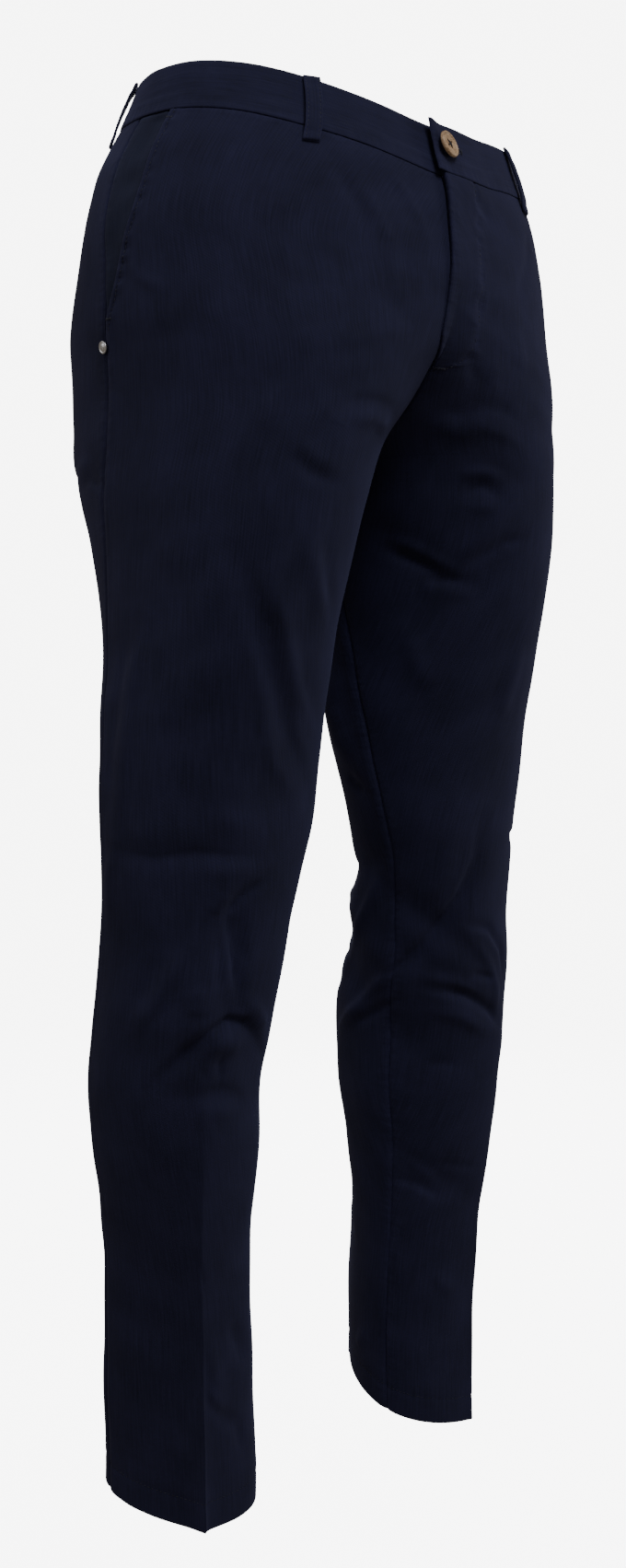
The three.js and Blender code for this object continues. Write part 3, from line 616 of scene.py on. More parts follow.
@dataclass(frozen=True)
class TwillFinish:
    """Garment-dyed cotton twill: matt, with a faint lengthwise streak from uneven yarn.

    Attributes:
        name: the material's name.
        dark: the colour at the low end of the cloth's uneven tone.
        light: the colour at its high end.
        streak: strength of the lengthwise streaks, from 0 to 1.
        rib_mm: distance between the drawn ribs.
    """

    name: str
    dark: str = "#14162a"
    light: str = "#272845"
    streak: float = 0.6
    rib_mm: float = 0.9

    def make(self) -> bpy.types.Material:
        """Builds the material. Its patterns follow the cloth's own map, in metres."""
        material = new_material(self.name)
        place = add_node(material, "ShaderNodeUVMap", {"uv_map": "cloth"})
        seam = add_node(material, "ShaderNodeAttribute", {"attribute_name": "seam"})
        # Yarn of uneven thickness leaves streaks about 1 mm wide and 35 mm long.
        long_way = add_node(
            material, "ShaderNodeMapping", None, Vector=place.outputs["UV"], Scale=(900.0, 28.0, 1.0),
        )
        streaks = add_node(
            material, "ShaderNodeTexNoise", {"noise_dimensions": "2D"}, Vector=long_way.outputs[0],
            Scale=1.0, Detail=3.0, Roughness=0.6,
        )
        # Dye takes unevenly in patches of about 40 mm, and in specks of about 2 mm.
        patches = add_node(
            material, "ShaderNodeTexNoise", {"noise_dimensions": "2D"}, Vector=place.outputs["UV"],
            Scale=24.0, Detail=4.0, Roughness=0.55,
        )
        specks = add_node(
            material, "ShaderNodeTexNoise", {"noise_dimensions": "2D"}, Vector=place.outputs["UV"],
            Scale=430.0, Detail=2.0, Roughness=0.7,
        )
        # A twill rib is 0.45 mm apart, too fine for the render, so it is drawn at twice that.
        turned = add_node(
            material, "ShaderNodeMapping", None, Vector=place.outputs["UV"],
            Rotation=(0.0, 0.0, math.radians(-28)),
        )
        rib = add_node(
            material, "ShaderNodeTexWave", {"wave_type": "BANDS", "bands_direction": "Y", "wave_profile": "SIN"},
            Vector=turned.outputs[0], Scale=1000.0 / self.rib_mm / 20.0 * math.pi, Distortion=1.2, Detail=1.0,
        )
        mixed = add_node(
            material, "ShaderNodeMath", {"operation": "MULTIPLY_ADD"}, _0=streaks.outputs[0], _1=self.streak,
            _2=0.5 - self.streak / 2,
        )
        with_patches = add_node(
            material, "ShaderNodeMath", {"operation": "MULTIPLY_ADD"}, _0=patches.outputs[0], _1=0.55,
            _2=mixed.outputs[0],
        )
        with_specks = add_node(
            material, "ShaderNodeMath", {"operation": "MULTIPLY_ADD"}, _0=specks.outputs[0], _1=0.35,
            _2=with_patches.outputs[0],
        )
        # Seams rub a little paler along their edge.
        worn = add_node(
            material, "ShaderNodeMapRange", None, Value=seam.outputs["Fac"], From_Min=0.5, From_Max=5.0,
            To_Min=0.12, To_Max=0.0,
        )
        total = add_node(
            material, "ShaderNodeMath", {"operation": "ADD"}, _0=with_specks.outputs[0], _1=worn.outputs[0],
        )
        tone = add_node(
            material, "ShaderNodeMapRange", None, Value=total.outputs[0], From_Min=0.65, From_Max=1.25,
            To_Min=0.0, To_Max=1.0,
        )
        colour = add_node(
            material, "ShaderNodeMix", {"data_type": "RGBA"}, Factor=tone.outputs[0], _6=linear(self.dark),
            _7=linear(self.light),
        )
        # Cloth puckers across a sewn seam, about every 7 mm.
        across = add_node(material, "ShaderNodeMapping", None, Vector=place.outputs["UV"], Scale=(60.0, 150.0, 1.0))
        puckers = add_node(
            material, "ShaderNodeTexNoise", {"noise_dimensions": "2D"}, Vector=across.outputs[0], Scale=1.0,
            Detail=1.0, Roughness=0.5,
        )
        near = add_node(
            material, "ShaderNodeMapRange", {"interpolation_type": "SMOOTHSTEP"}, Value=seam.outputs["Fac"],
            From_Min=1.0, From_Max=14.0, To_Min=1.0, To_Max=0.0,
        )
        gathered = add_node(
            material, "ShaderNodeMath", {"operation": "MULTIPLY"}, _0=puckers.outputs[0], _1=near.outputs[0],
        )
        coarse = add_node(
            material, "ShaderNodeBump", None, Strength=0.5, Distance=1.6 * MM, Height=gathered.outputs[0],
        )
        yarn = add_node(
            material, "ShaderNodeMath", {"operation": "MULTIPLY_ADD"}, _0=rib.outputs[0], _1=0.35,
            _2=streaks.outputs[0],
        )
        fine = add_node(
            material, "ShaderNodeBump", None, Strength=0.35, Distance=0.25 * MM, Height=yarn.outputs[0],
            Normal=coarse.outputs[0],
        )
        rough = add_node(
            material, "ShaderNodeMapRange", None, Value=specks.outputs[0], From_Min=0.3, From_Max=0.7,
            To_Min=0.82, To_Max=0.94,
        )
        shader = add_node(
            material, "ShaderNodeBsdfPrincipled", None, Base_Color=colour.outputs[2], Roughness=rough.outputs[0],
            Normal=fine.outputs[0],
        )
        shader.inputs["Specular IOR Level"].default_value = 0.25
        shader.inputs["Sheen Weight"].default_value = 0.12
        shader.inputs["Sheen Roughness"].default_value = 0.5
        shader.inputs["Sheen Tint"].default_value = linear("#8c93d2")
        add_node(material, "ShaderNodeOutputMaterial", None, Surface=shader.outputs[0])
        return material


@dataclass(frozen=True)
class ThreadFinish:
    """Spun polyester sewing thread: a soft low shine along twisted plies about 0.4 mm apart."""

    name: str
    colour: str

    def make(self) -> bpy.types.Material:
        """Builds the material on Object coordinates."""
        material = new_material(self.name)
        place = add_node(material, "ShaderNodeTexCoord")
        ply = add_node(
            material, "ShaderNodeTexNoise", None, Vector=place.outputs["Object"], Scale=2500.0, Detail=1.0,
        )
        tone = add_node(
            material, "ShaderNodeMix", {"data_type": "RGBA"}, Factor=ply.outputs[0], _6=linear("#0d0f1a"),
            _7=linear(self.colour),
        )
        bump = add_node(material, "ShaderNodeBump", None, Strength=0.4, Distance=0.1 * MM, Height=ply.outputs[0])
        shader = add_node(
            material, "ShaderNodeBsdfPrincipled", None, Base_Color=tone.outputs[2], Roughness=0.6,
            Normal=bump.outputs[0],
        )
        add_node(material, "ShaderNodeOutputMaterial", None, Surface=shader.outputs[0])
        return material


@dataclass(frozen=True)
class CoconutFinish:
    """Polished coconut shell: tan, with short brown fibres, and a soft shine from tumbling."""

    name: str = "coconut shell, polished"

    def make(self) -> bpy.types.Material:
        """Builds the material on Object coordinates. Its fibres are about 0.5 mm by 4 mm."""
        material = new_material(self.name)
        place = add_node(material, "ShaderNodeTexCoord")
        drawn = add_node(
            material, "ShaderNodeMapping", None, Vector=place.outputs["Object"], Scale=(420.0, 420.0, 1500.0),
            Rotation=(0.0, math.radians(24), 0.0),
        )
        fibre = add_node(material, "ShaderNodeTexNoise", None, Vector=drawn.outputs[0], Scale=1.0, Detail=4.0)
        blotch = add_node(
            material, "ShaderNodeTexNoise", None, Vector=place.outputs["Object"], Scale=260.0, Detail=2.0,
        )
        both = add_node(
            material, "ShaderNodeMath", {"operation": "MULTIPLY_ADD"}, _0=blotch.outputs[0], _1=0.6,
            _2=fibre.outputs[0],
        )
        tone = add_node(material, "ShaderNodeMapRange", None, Value=both.outputs[0], From_Min=0.55, From_Max=1.05)
        colour = add_node(
            material, "ShaderNodeMix", {"data_type": "RGBA"}, Factor=tone.outputs[0], _6=linear("#9a7a58"),
            _7=linear("#ddbd94"),
        )
        bump = add_node(material, "ShaderNodeBump", None, Strength=0.25, Distance=0.15 * MM, Height=both.outputs[0])
        shader = add_node(
            material, "ShaderNodeBsdfPrincipled", None, Base_Color=colour.outputs[2], Roughness=0.42,
            Normal=bump.outputs[0],
        )
        add_node(material, "ShaderNodeOutputMaterial", None, Surface=shader.outputs[0])
        return material


@dataclass(frozen=True)
class PewterFinish:
    """Cast zinc with an antique pewter plate: grey metal, rubbed bright on its high places."""

    name: str = "zinc, antique pewter plate"

    def make(self) -> bpy.types.Material:
        """Builds the material on Object coordinates, with blemishes of about 1 mm."""
        material = new_material(self.name)
        place = add_node(material, "ShaderNodeTexCoord")
        blemish = add_node(
            material, "ShaderNodeTexNoise", None, Vector=place.outputs["Object"], Scale=900.0, Detail=3.0,
        )
        colour = add_node(
            material, "ShaderNodeMix", {"data_type": "RGBA"}, Factor=blemish.outputs[0], _6=linear("#a9a7a3"),
            _7=linear("#f4f2ee"),
        )
        rough = add_node(
            material, "ShaderNodeMapRange", None, Value=blemish.outputs[0], To_Min=0.28, To_Max=0.5,
        )
        bump = add_node(material, "ShaderNodeBump", None, Strength=0.3, Distance=0.1 * MM, Height=blemish.outputs[0])
        shader = add_node(
            material, "ShaderNodeBsdfPrincipled", None, Base_Color=colour.outputs[2], Metallic=1.0,
            Roughness=rough.outputs[0], Normal=bump.outputs[0],
        )
        add_node(material, "ShaderNodeOutputMaterial", None, Surface=shader.outputs[0])
        return material


@dataclass
class Wardrobe:
    """The finishes, each made once."""

    twill: bpy.types.Material = field(default_factory=lambda: TwillFinish("cotton twill, navy").make())
    # The facing and the fly shield take a darker copy of the navy twill: painted shade for the pocket mouth and for
    # the gap behind the fly.
    shaded_twill: bpy.types.Material = field(
        default_factory=lambda: TwillFinish("cotton twill, navy facing", "#121526", "#22263a").make()
    )
    tape: bpy.types.Material = field(
        default_factory=lambda: TwillFinish("polyester zip tape, navy", "#101320", "#1c2032", 0.3, 1.4).make()
    )
    thread: bpy.types.Material = field(
        default_factory=lambda: ThreadFinish("spun polyester thread, navy", "#20243a").make()
    )
    button_thread: bpy.types.Material = field(
        default_factory=lambda: ThreadFinish("spun polyester thread, dark navy", "#1d2030").make()
    )
    coconut: bpy.types.Material = field(default_factory=lambda: CoconutFinish().make())
    pewter: bpy.types.Material = field(default_factory=lambda: PewterFinish().make())


def link_piece(
    name: str,
    mesh: bpy.types.Mesh,
    material: bpy.types.Material,
    nodes: Sequence[str] = (),
) -> bpy.types.Object:
    """Makes a piece of the object from a finished mesh and puts it on the body.

    Args:
        name: the piece's name.
        mesh: its mesh, in metres and in place.
        material: its finish.
        nodes: the CAD nodes that it stands for.

    Returns:
        The piece.
    """
    mesh.materials.append(material)
    piece = bpy.data.objects.new(name, mesh)
    bpy.context.scene.collection.objects.link(piece)
    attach(piece, "root")
    if nodes:
        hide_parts(*nodes)
    LOG.info("%s: %d faces", name, len(mesh.polygons))
    return piece


def shaped_grid(
    name: str,
    points: Array,
    uv: Array,
    seam: Array,
) -> bpy.types.Mesh:
    """Moves a grid onto the form, closes its loop and its two ends.

    Args:
        name: the mesh's name.
        points: rows by columns of points in millimetres. The last column is the first again.
        uv: the cloth's flat map for each point, in metres.
        seam: distance from each point to the nearest seam, in millimetres.

    Returns:
        A closed mesh in metres.
    """
    rows, columns = points.shape[:2]
    shell = bmesh.new()
    bmesh.ops.create_grid(shell, x_segments=columns - 1, y_segments=rows - 1, size=1.0)
    shell.verts.ensure_lookup_table()
    map_layer = shell.verts.layers.float_vector.new("flat")
    seam_layer = shell.verts.layers.float.new("seam")
    for vert in shell.verts:
        column = round((vert.co.x + 1) / 2 * (columns - 1))
        row = round((vert.co.y + 1) / 2 * (rows - 1))
        vert.co = Vector(points[row, column]) * MM
        vert[map_layer] = (uv[row, column, 0], uv[row, column, 1], 0.0)
        vert[seam_layer] = seam[row, column]
    bmesh.ops.remove_doubles(shell, verts=shell.verts, dist=1e-6)
    rim = [edge for edge in shell.edges if edge.is_boundary]
    if rim:
        bmesh.ops.holes_fill(shell, edges=rim, sides=0)
    bmesh.ops.recalc_face_normals(shell, faces=shell.faces)
    mesh = bpy.data.meshes.new(name)
    shell.to_mesh(mesh)
    shell.free()
    flat = np.empty(len(mesh.vertices) * 3)
    mesh.attributes["flat"].data.foreach_get("vector", flat)
    corner = np.empty(len(mesh.loops), int)
    mesh.loops.foreach_get("vertex_index", corner)
    layer = mesh.uv_layers.new(name="cloth")
    layer.data.foreach_set("uv", flat.reshape(-1, 3)[corner, :2].ravel())
    mesh.attributes.remove(mesh.attributes["flat"])
    mesh.polygons.foreach_set("use_smooth", np.ones(len(mesh.polygons), bool))
    return mesh


# Columns near an edge of a panel, as distances from it.
EDGE_STEPS = (0.0, 0.3, 0.8, 1.4, 2.1, 2.9, 3.7, 4.4, 5.0, 5.6, 6.3, 7.3, 8.8)


def panel_heights() -> Array:
    """The rows of a leg panel, closer together where the cloth is folded and at the crotch."""
    stretches = (
        (0.0, 3.0, 6), (3.0, 34.0, 16), (34.0, 300.0, 100), (300.0, 530.0, 125), (530.0, 778.0, 100),
        (778.0, 830.0, 34), (830.0, 1014.0, 76), (1014.0, 1021.0, 8),
    )
    rows = [np.linspace(start, end, count, endpoint=False) for start, end, count in stretches]
    return np.concatenate([*rows, [WAIST_SEAM + 3.0]])


@dataclass
class LegPanel:
    """A front or back of one leg, from hem to waist, as a closed thin wall.

    Attributes:
        side: the side of the wearer.
        back: whether it is the back panel.
        wall: thickness of the cloth.
        hem_wall: thickness where the hem is turned up.
        wardrobe: the finishes.
        middle_columns: how many columns lie between the two edges' own.
        lining_columns: how many columns the inner face has.
    """

    side: Side
    back: bool
    wardrobe: Wardrobe
    wall: float = 1.3
    hem_wall: float = 2.8
    middle_columns: int = 78
    lining_columns: int = 22

    @property
    def node(self) -> str:
        """The CAD node that the panel replaces."""
        return f"{'back' if self.back else 'front'}_{self.side.word}"

    def edges(self, height: Array) -> tuple[Array, Array]:
        """The angles where the panel starts and ends at each height."""
        seam = FORM.side_seam(height)
        zero = np.zeros_like(height)
        closed = np.where(height <= CROTCH, HALF_SEAM_GAP / FORM.arc_rate(height, zero), 0.0)
        if self.back:
            start = seam + HALF_SEAM_GAP / FORM.arc_rate(height, seam)
            return start, FORM.edge_angle(height, zero, True) - closed
        mouth = np.where(height > POCKET_FOOT, POCKET_MOUTH.read("width", height), 0.0)
        end = seam - (mouth + HALF_SEAM_GAP) / FORM.arc_rate(height, seam)
        return FORM.edge_angle(height, zero, False) + closed, end

    def lap(self, height: Array) -> Array:
        """How far the panel reaches over the middle plane."""
        if self.back or self.side is Side.RIGHT:
            return np.zeros_like(height)
        return FLY_LAP * ramp(FLY_FOOT, FLY_CURVE_TOP, height)

    def stations(self, height: Array, steps: Array) -> tuple[Array, Array, Array]:
        """Angles and signed distances over the middle plane for the columns of each row.

        Args:
            height: the rows' heights, as a column.
            steps: for each column, its share of the way from start to end, or an array by row.

        Returns:
            The angles, and for lapped columns how far over the middle plane they are, else 0.
        """
        start, end = self.edges(height)
        lap = self.lap(height)
        shift = np.where(
            lap > 0, FORM.edge_angle(height, lap, False) - FORM.edge_angle(height, np.zeros_like(height), False), 0.0,
        )
        angle = start - shift + (end - start + shift) * steps
        over = np.where((angle < start) & (lap > 0), lap * (start - angle) / np.maximum(shift, 1e-9), 0.0)
        return angle, over, start

    def width_of(self, height: Array) -> Array:
        """The panel's width round the form at each height, including its lap."""
        start, end = self.edges(height)
        share = (np.arange(40) + 0.5) / 40
        angle = start + (end - start) * share
        return FORM.arc_rate(height, angle).mean(axis=1, keepdims=True) * (end - start) + self.lap(height)

    def relief(self, height: Array, x: Array, start_gap: Array, end_gap: Array, angle: Array) -> Array:
        """How far seams, stitch lines and edges move the outer face.

        Args:
            height: heights of the points.
            x: distance from the middle plane, negative over it.
            start_gap: distance from the panel's first edge, at the middle or inseam.
            end_gap: distance from its other edge, at the side seam or pocket mouth.
            angle: angles round the form.

        Returns:
            The lift in millimetres.
        """
        lift = np.zeros(np.broadcast(height, start_gap).shape)
        open_mouth = (0.0 if self.back else 1.0) * ramp(POCKET_FOOT, POCKET_FOOT + 12, height)
        has_fly = self.side is Side.LEFT and not self.back
        open_fly = (1.0 if has_fly else 0.0) * ramp(FLY_FOOT - 6, FLY_FOOT + 14, height)
        lift -= (1 - open_mouth) * (1.1 * bell(end_gap, 1.5) + 0.5 * bell(end_gap, 5.0))
        lift += (1 - open_mouth) * 0.35 * bell(end_gap - 6.5, 2.5)
        turned = 0.7 * (1 - ramp(4.0, 7.0, end_gap)) - 0.5 * bell(end_gap - 5.0, 1.0) - 0.6 * bell(end_gap, 0.7)
        gathers = np.sin(height / 2.1 + 1.7 * np.sin(height / 9))
        lift += open_mouth * (turned + 0.6 * bell(end_gap - 6.5, 3.5) * gathers)
        lift -= (1 - open_fly) * (1.1 * bell(start_gap, 1.5) + 0.4 * bell(start_gap, 5.0))
        # The seam allowances run on inside, behind the waistband and behind the neighbouring panel.
        lift -= SEAM_SINK * ramp(WAIST_SEAM - 1.3, WAIST_SEAM + 0.5, height)
        lift -= 1.8 * (1 - ramp(-0.5, 0.0, np.minimum(start_gap, end_gap)))
        if not self.back:
            ripple = np.sin(height / 3.3 + 2.0 * np.sin(height / 17)) * (0.5 + 0.5 * np.sin(height / 11))
            if self.side is Side.LEFT:
                raised = ramp(FLY_FOOT - 22, FLY_FOOT - 2, height) * (1 - ramp(FLY_RAISE_FULL, FLY_RAISE_END, x))
                lift += FLY_RAISE * raised
                top = FLY_TOP_RAISE * (1 - ramp(-FLY_LAP, FLY_TOP_END, x))
                lift += top * ramp(FLY_TOP_FOOT, FLY_TOP_FULL, height)
                stitch = fly_stitch_x(height)
                shown = ramp(FLY_FOOT - 4, FLY_FOOT + 6, height)
                gap = x - stitch
                lift += shown * (-1.0 * bell(gap, 1.5) + 1.3 * ripple * bell(gap, 4.0))
                lift += shown * 0.35 * (1 - ramp(stitch - 3, stitch, x))
                lift -= 0.5 * open_fly * bell(start_gap, 0.7)
                # The raised end of the waistband lifts the cloth sewn into it.
                band = WAISTBAND_RAISE * (1 - ramp(WAISTBAND_RAISE_FULL, WAISTBAND_RAISE_END, x))
                own = FLY_RAISE * raised + top
                lift += np.maximum(band - own, 0.0) * ramp(WAIST_SEAM - 30, WAIST_SEAM, height)
        else:
            # A dart 85 mm long takes in the back under the waistband.
            middle = math.radians(238)
            gap = (angle - middle) * FORM.arc_rate(height, angle)
            dart = ramp(930, 955, height)
            lift += dart * (-0.9 * bell(gap, 1.5) + 0.4 * bell(gap - 4, 3.0))
        lift -= 0.45 * bell(height - HEM_STITCH, 1.6)
        lift += 0.25 * (1 - ramp(HEM_TURNING - 3, HEM_TURNING + 4, height))
        return lift

    def layer(self, height: Array, steps: Array, inside: bool) -> tuple[Array, Array, Array]:
        """One face of the wall.

        Args:
            height: the rows' heights, as a column.
            steps: shares of the way across for each row and column.
            inside: whether it is the inner face.

        Returns:
            The points, the flat map and the seam distances.
        """
        angle, over, start = self.stations(height, steps)
        height = height + 0 * angle
        width = self.width_of(height[:, :1])
        start_gap = steps * width
        end_gap = (1 - steps) * width
        plain = FORM.point(Side.LEFT, height, angle)[..., 0]
        x = np.where(over > 0, -over, np.abs(plain))
        lift = self.relief(height, x, start_gap, end_gap, angle)
        edge_round = np.zeros_like(lift)
        foot = np.minimum(height[:, :1], 3.0)
        edge_round -= 1.0 * np.square(np.clip(1 - foot / 1.6, 0, 1))
        if inside:
            wall = np.where(height < HEM_TURNING, self.hem_wall, self.wall)
            inner = lift * 0.6 - wall
            lift = np.where(foot < 1.6, inner - edge_round, inner)
        else:
            lift = lift + edge_round
        points = FORM.cloth(self.side, height, angle, lift)
        lapped = over > 0
        if lapped.any():
            points[lapped] = FORM.front_at(-over[lapped], height[lapped], lift[lapped])
        # The map's threads run straight down from the side seam on both panels.
        from_seam = 400 + start_gap
        if not self.back:
            mouth = np.where(height > POCKET_FOOT, POCKET_MOUTH.read("width", height), 0.0)
            from_seam = 300 - end_gap - mouth
        uv = np.stack((from_seam * MM, height * MM), axis=-1)
        gap = np.minimum(np.minimum(start_gap, end_gap), np.minimum(WAIST_SEAM - height, 40.0))
        if self.side is Side.LEFT and not self.back:
            stitch_gap = np.abs(x - fly_stitch_x(height)) + 30 * (1 - ramp(FLY_FOOT - 4, FLY_FOOT + 6, height))
            gap = np.minimum(gap, stitch_gap)
        return points, uv, np.clip(gap, 0.0, 40.0)

    def build(self) -> bpy.types.Object:
        """Makes the panel."""
        height = panel_heights()[:, None]
        width = self.width_of(height)
        steps = (-3.0, -0.5, *EDGE_STEPS) if self.back else EDGE_STEPS
        near = np.array(steps)[None, :] / width
        first = steps[-1] / width
        middle = first + (1 - 2 * first) * (np.arange(1, self.middle_columns) / self.middle_columns)[None, :]
        outer_steps = np.concatenate((near, middle, (1 - near)[:, ::-1]), axis=1)
        under = steps[0] / width
        inner_steps = 1 - under - (1 - 2 * under) * np.linspace(0.0, 1.0, self.lining_columns)[None, :]
        outer = self.layer(height, outer_steps, False)
        inner = self.layer(height, inner_steps, True)
        joined = [np.concatenate((a, b, a[:, :1]), axis=1) for a, b in zip(outer, inner)]
        mesh = shaped_grid(self.node + "_cloth", *joined)
        piece = link_piece(f"{self.node}_cloth", mesh, self.wardrobe.twill, (self.node,))
        return piece


def fly_stitch_x(height: Array) -> Array:
    """Distance of the fly's stitch line from the middle plane: straight down, then curved in."""
    curve_top = FLY_CURVE_TOP + 2
    drop = np.clip((curve_top - height) / (curve_top - FLY_FOOT), 0.0, 1.0)
    reach = FLY_STITCH_REACH - FLY_STITCH_FOOT
    return FLY_STITCH_FOOT + reach * np.sqrt(np.clip(1 - drop**2, 0.0, 1.0))


class StitchRow:
    """A row of thread stitches, each a small lozenge sunk at both ends."""

    def __init__(self, name: str, length: float = 2.6, width: float = 0.75) -> None:
        """Keeps the stitch's size, and starts with none."""
        self.name = name
        self.length = length
        self.width = width
        self.shell = bmesh.new()

    def add(self, at: Vector, along: Vector, up: Vector, length: float | None = None) -> None:
        """Adds one stitch.

        Args:
            at: its middle, in millimetres.
            along: the direction that it runs in.
            up: the cloth's outward direction.
            length: its length, if it isn't the row's.
        """
        along = along.normalized()
        across = up.cross(along).normalized()
        up = along.cross(across)
        turn = Matrix((along, across, up)).transposed().to_4x4()
        size = Matrix.Diagonal(((length or self.length) / 2, self.width / 2, self.width * 0.45, 1.0))
        place = Matrix.Translation(at * MM) @ turn @ Matrix.Scale(MM, 4) @ size
        bmesh.ops.create_uvsphere(self.shell, u_segments=6, v_segments=5, radius=1.0, matrix=place)

    def run(self, points: Array, normals: Array) -> None:
        """Sews a line of stitches evenly along points.

        Args:
            points: the line, in millimetres.
            normals: the cloth's outward direction at each point.
        """
        steps = np.linalg.norm(np.diff(points, axis=0), axis=1)
        reach = np.concatenate(([0.0], np.cumsum(steps)))
        count = max(int(reach[-1] / (self.length + 0.9)), 1)
        at = (np.arange(count) + 0.5) * reach[-1] / count
        place = np.stack([np.interp(at, reach, points[:, i]) for i in range(3)], axis=1)
        ahead = np.stack([np.interp(at + 0.8, reach, points[:, i]) for i in range(3)], axis=1)
        behind = np.stack([np.interp(at - 0.8, reach, points[:, i]) for i in range(3)], axis=1)
        up = np.stack([np.interp(at, reach, normals[:, i]) for i in range(3)], axis=1)
        for i in range(count):
            self.add(Vector(place[i]), Vector(ahead[i] - behind[i]), Vector(up[i]))

    def finish(self, material: bpy.types.Material) -> bpy.types.Object:
        """Makes the row a piece."""
        bmesh.ops.recalc_face_normals(self.shell, faces=self.shell.faces)
        mesh = bpy.data.meshes.new(self.name)
        self.shell.to_mesh(mesh)
        self.shell.free()
        mesh.polygons.foreach_set("use_smooth", np.ones(len(mesh.polygons), bool))
        return link_piece(self.name, mesh, material)


def along_of(normal: Array, side: Side) -> Array:
    """The level direction across the cloth, towards the back on either side."""
    across = np.stack((-normal[..., 1], normal[..., 0], np.zeros_like(normal[..., 0])), axis=-1) * side.value
    return across / np.linalg.norm(across, axis=-1, keepdims=True)


def stand_on(point: Array, normal: Array) -> Matrix:
    """The place of a small piece made round the Z axis, so that it stands on the cloth."""
    turn = Vector((0, 0, 1)).rotation_difference(Vector(normal)).to_matrix().to_4x4()
    return Matrix.Translation(Vector(point) * MM) @ turn @ Matrix.Scale(MM, 4)


def turned_shell(profile: Sequence[tuple[float, float]], steps: int) -> bmesh.types.BMesh:
    """Spins a profile round the Z axis.

    Args:
        profile: radius and height of each point, from the middle of the back to that of the face.
        steps: how many steps the spin takes.

    Returns:
        The closed shell, in millimetres.
    """
    shell = bmesh.new()
    line = [shell.verts.new((radius, 0.0, height)) for radius, height in profile]
    edges = [shell.edges.new(pair) for pair in zip(line, line[1:])]
    bmesh.ops.spin(
        shell, geom=[*line, *edges], cent=(0, 0, 0), axis=(0, 0, 1), angle=2 * math.pi, steps=steps, use_merge=True,
    )
    bmesh.ops.remove_doubles(shell, verts=shell.verts, dist=1e-4)
    bmesh.ops.recalc_face_normals(shell, faces=shell.faces)
    return shell


@dataclass
class PocketFacing:
    """The cloth seen in a slanted pocket's mouth, from under the front to the side seam."""

    side: Side
    wardrobe: Wardrobe
    rows: int = 90
    columns: int = 34

    def layer(self, height: Array, share: Array, inside: bool) -> tuple[Array, Array, Array]:
        """One face of the facing: its points, flat map and seam distances."""
        seam = FORM.side_seam(height)
        rate = FORM.arc_rate(height, seam)
        mouth = POCKET_MOUTH.read("width", height)
        start = seam - (mouth + FACING_UNDERLAP) / rate
        end = seam - HALF_SEAM_GAP / rate
        angle = start + (end - start) * share
        height = height + 0 * angle
        to_seam = (end - angle) * rate
        past_mouth = np.clip(mouth - to_seam, -FACING_UNDERLAP, None)
        flush = ramp(2, 12, mouth) * ramp(0, 1, np.clip(past_mouth / np.maximum(mouth, 1), 0, 1))
        sewn_in = ramp(WAIST_SEAM - 7, WAIST_SEAM - 1, height) * ramp(0.5, 3.0, past_mouth)
        lift = -FACING_DEPTH * (1 - flush) * (1 - sewn_in) - 1.1 * bell(to_seam, 1.5)
        sag = bell(past_mouth - 12, 9) * ramp(890, 930, height)
        lift += sag * (0.7 * np.sin(height / 6.2 + 1.4 * np.sin(height / 14)) - 0.6)
        lift -= SEAM_SINK * ramp(WAIST_SEAM - 1.3, WAIST_SEAM + 0.5, height)
        lift -= FACING_THICKNESS if inside else 0.0
        points = FORM.cloth(self.side, height, angle, lift)
        uv = np.stack(((200 - to_seam) * MM, height * MM), axis=-1)
        gap = np.minimum(to_seam, np.minimum(np.abs(past_mouth) + 2, WAIST_SEAM - height))
        return points, uv, np.clip(gap, 0, 40)

    def build(self) -> bpy.types.Object:
        """Makes the facing."""
        height = np.linspace(FACING_START, WAIST_SEAM + 3.0, self.rows)[:, None]
        share = np.linspace(0, 1, self.columns)[None, :]
        outer = self.layer(height, share, False)
        inner = self.layer(height, share[:, ::-1], True)
        joined = [np.concatenate((a, b, a[:, :1]), axis=1) for a, b in zip(outer, inner)]
        node = f"pocket_facing_{self.side.word}"
        mesh = shaped_grid(node, *joined)
        # The facing's darker twill is painted shade inside the pocket mouth.
        piece = link_piece(node + "_cloth", mesh, self.wardrobe.shaded_twill, (node,))
        return piece


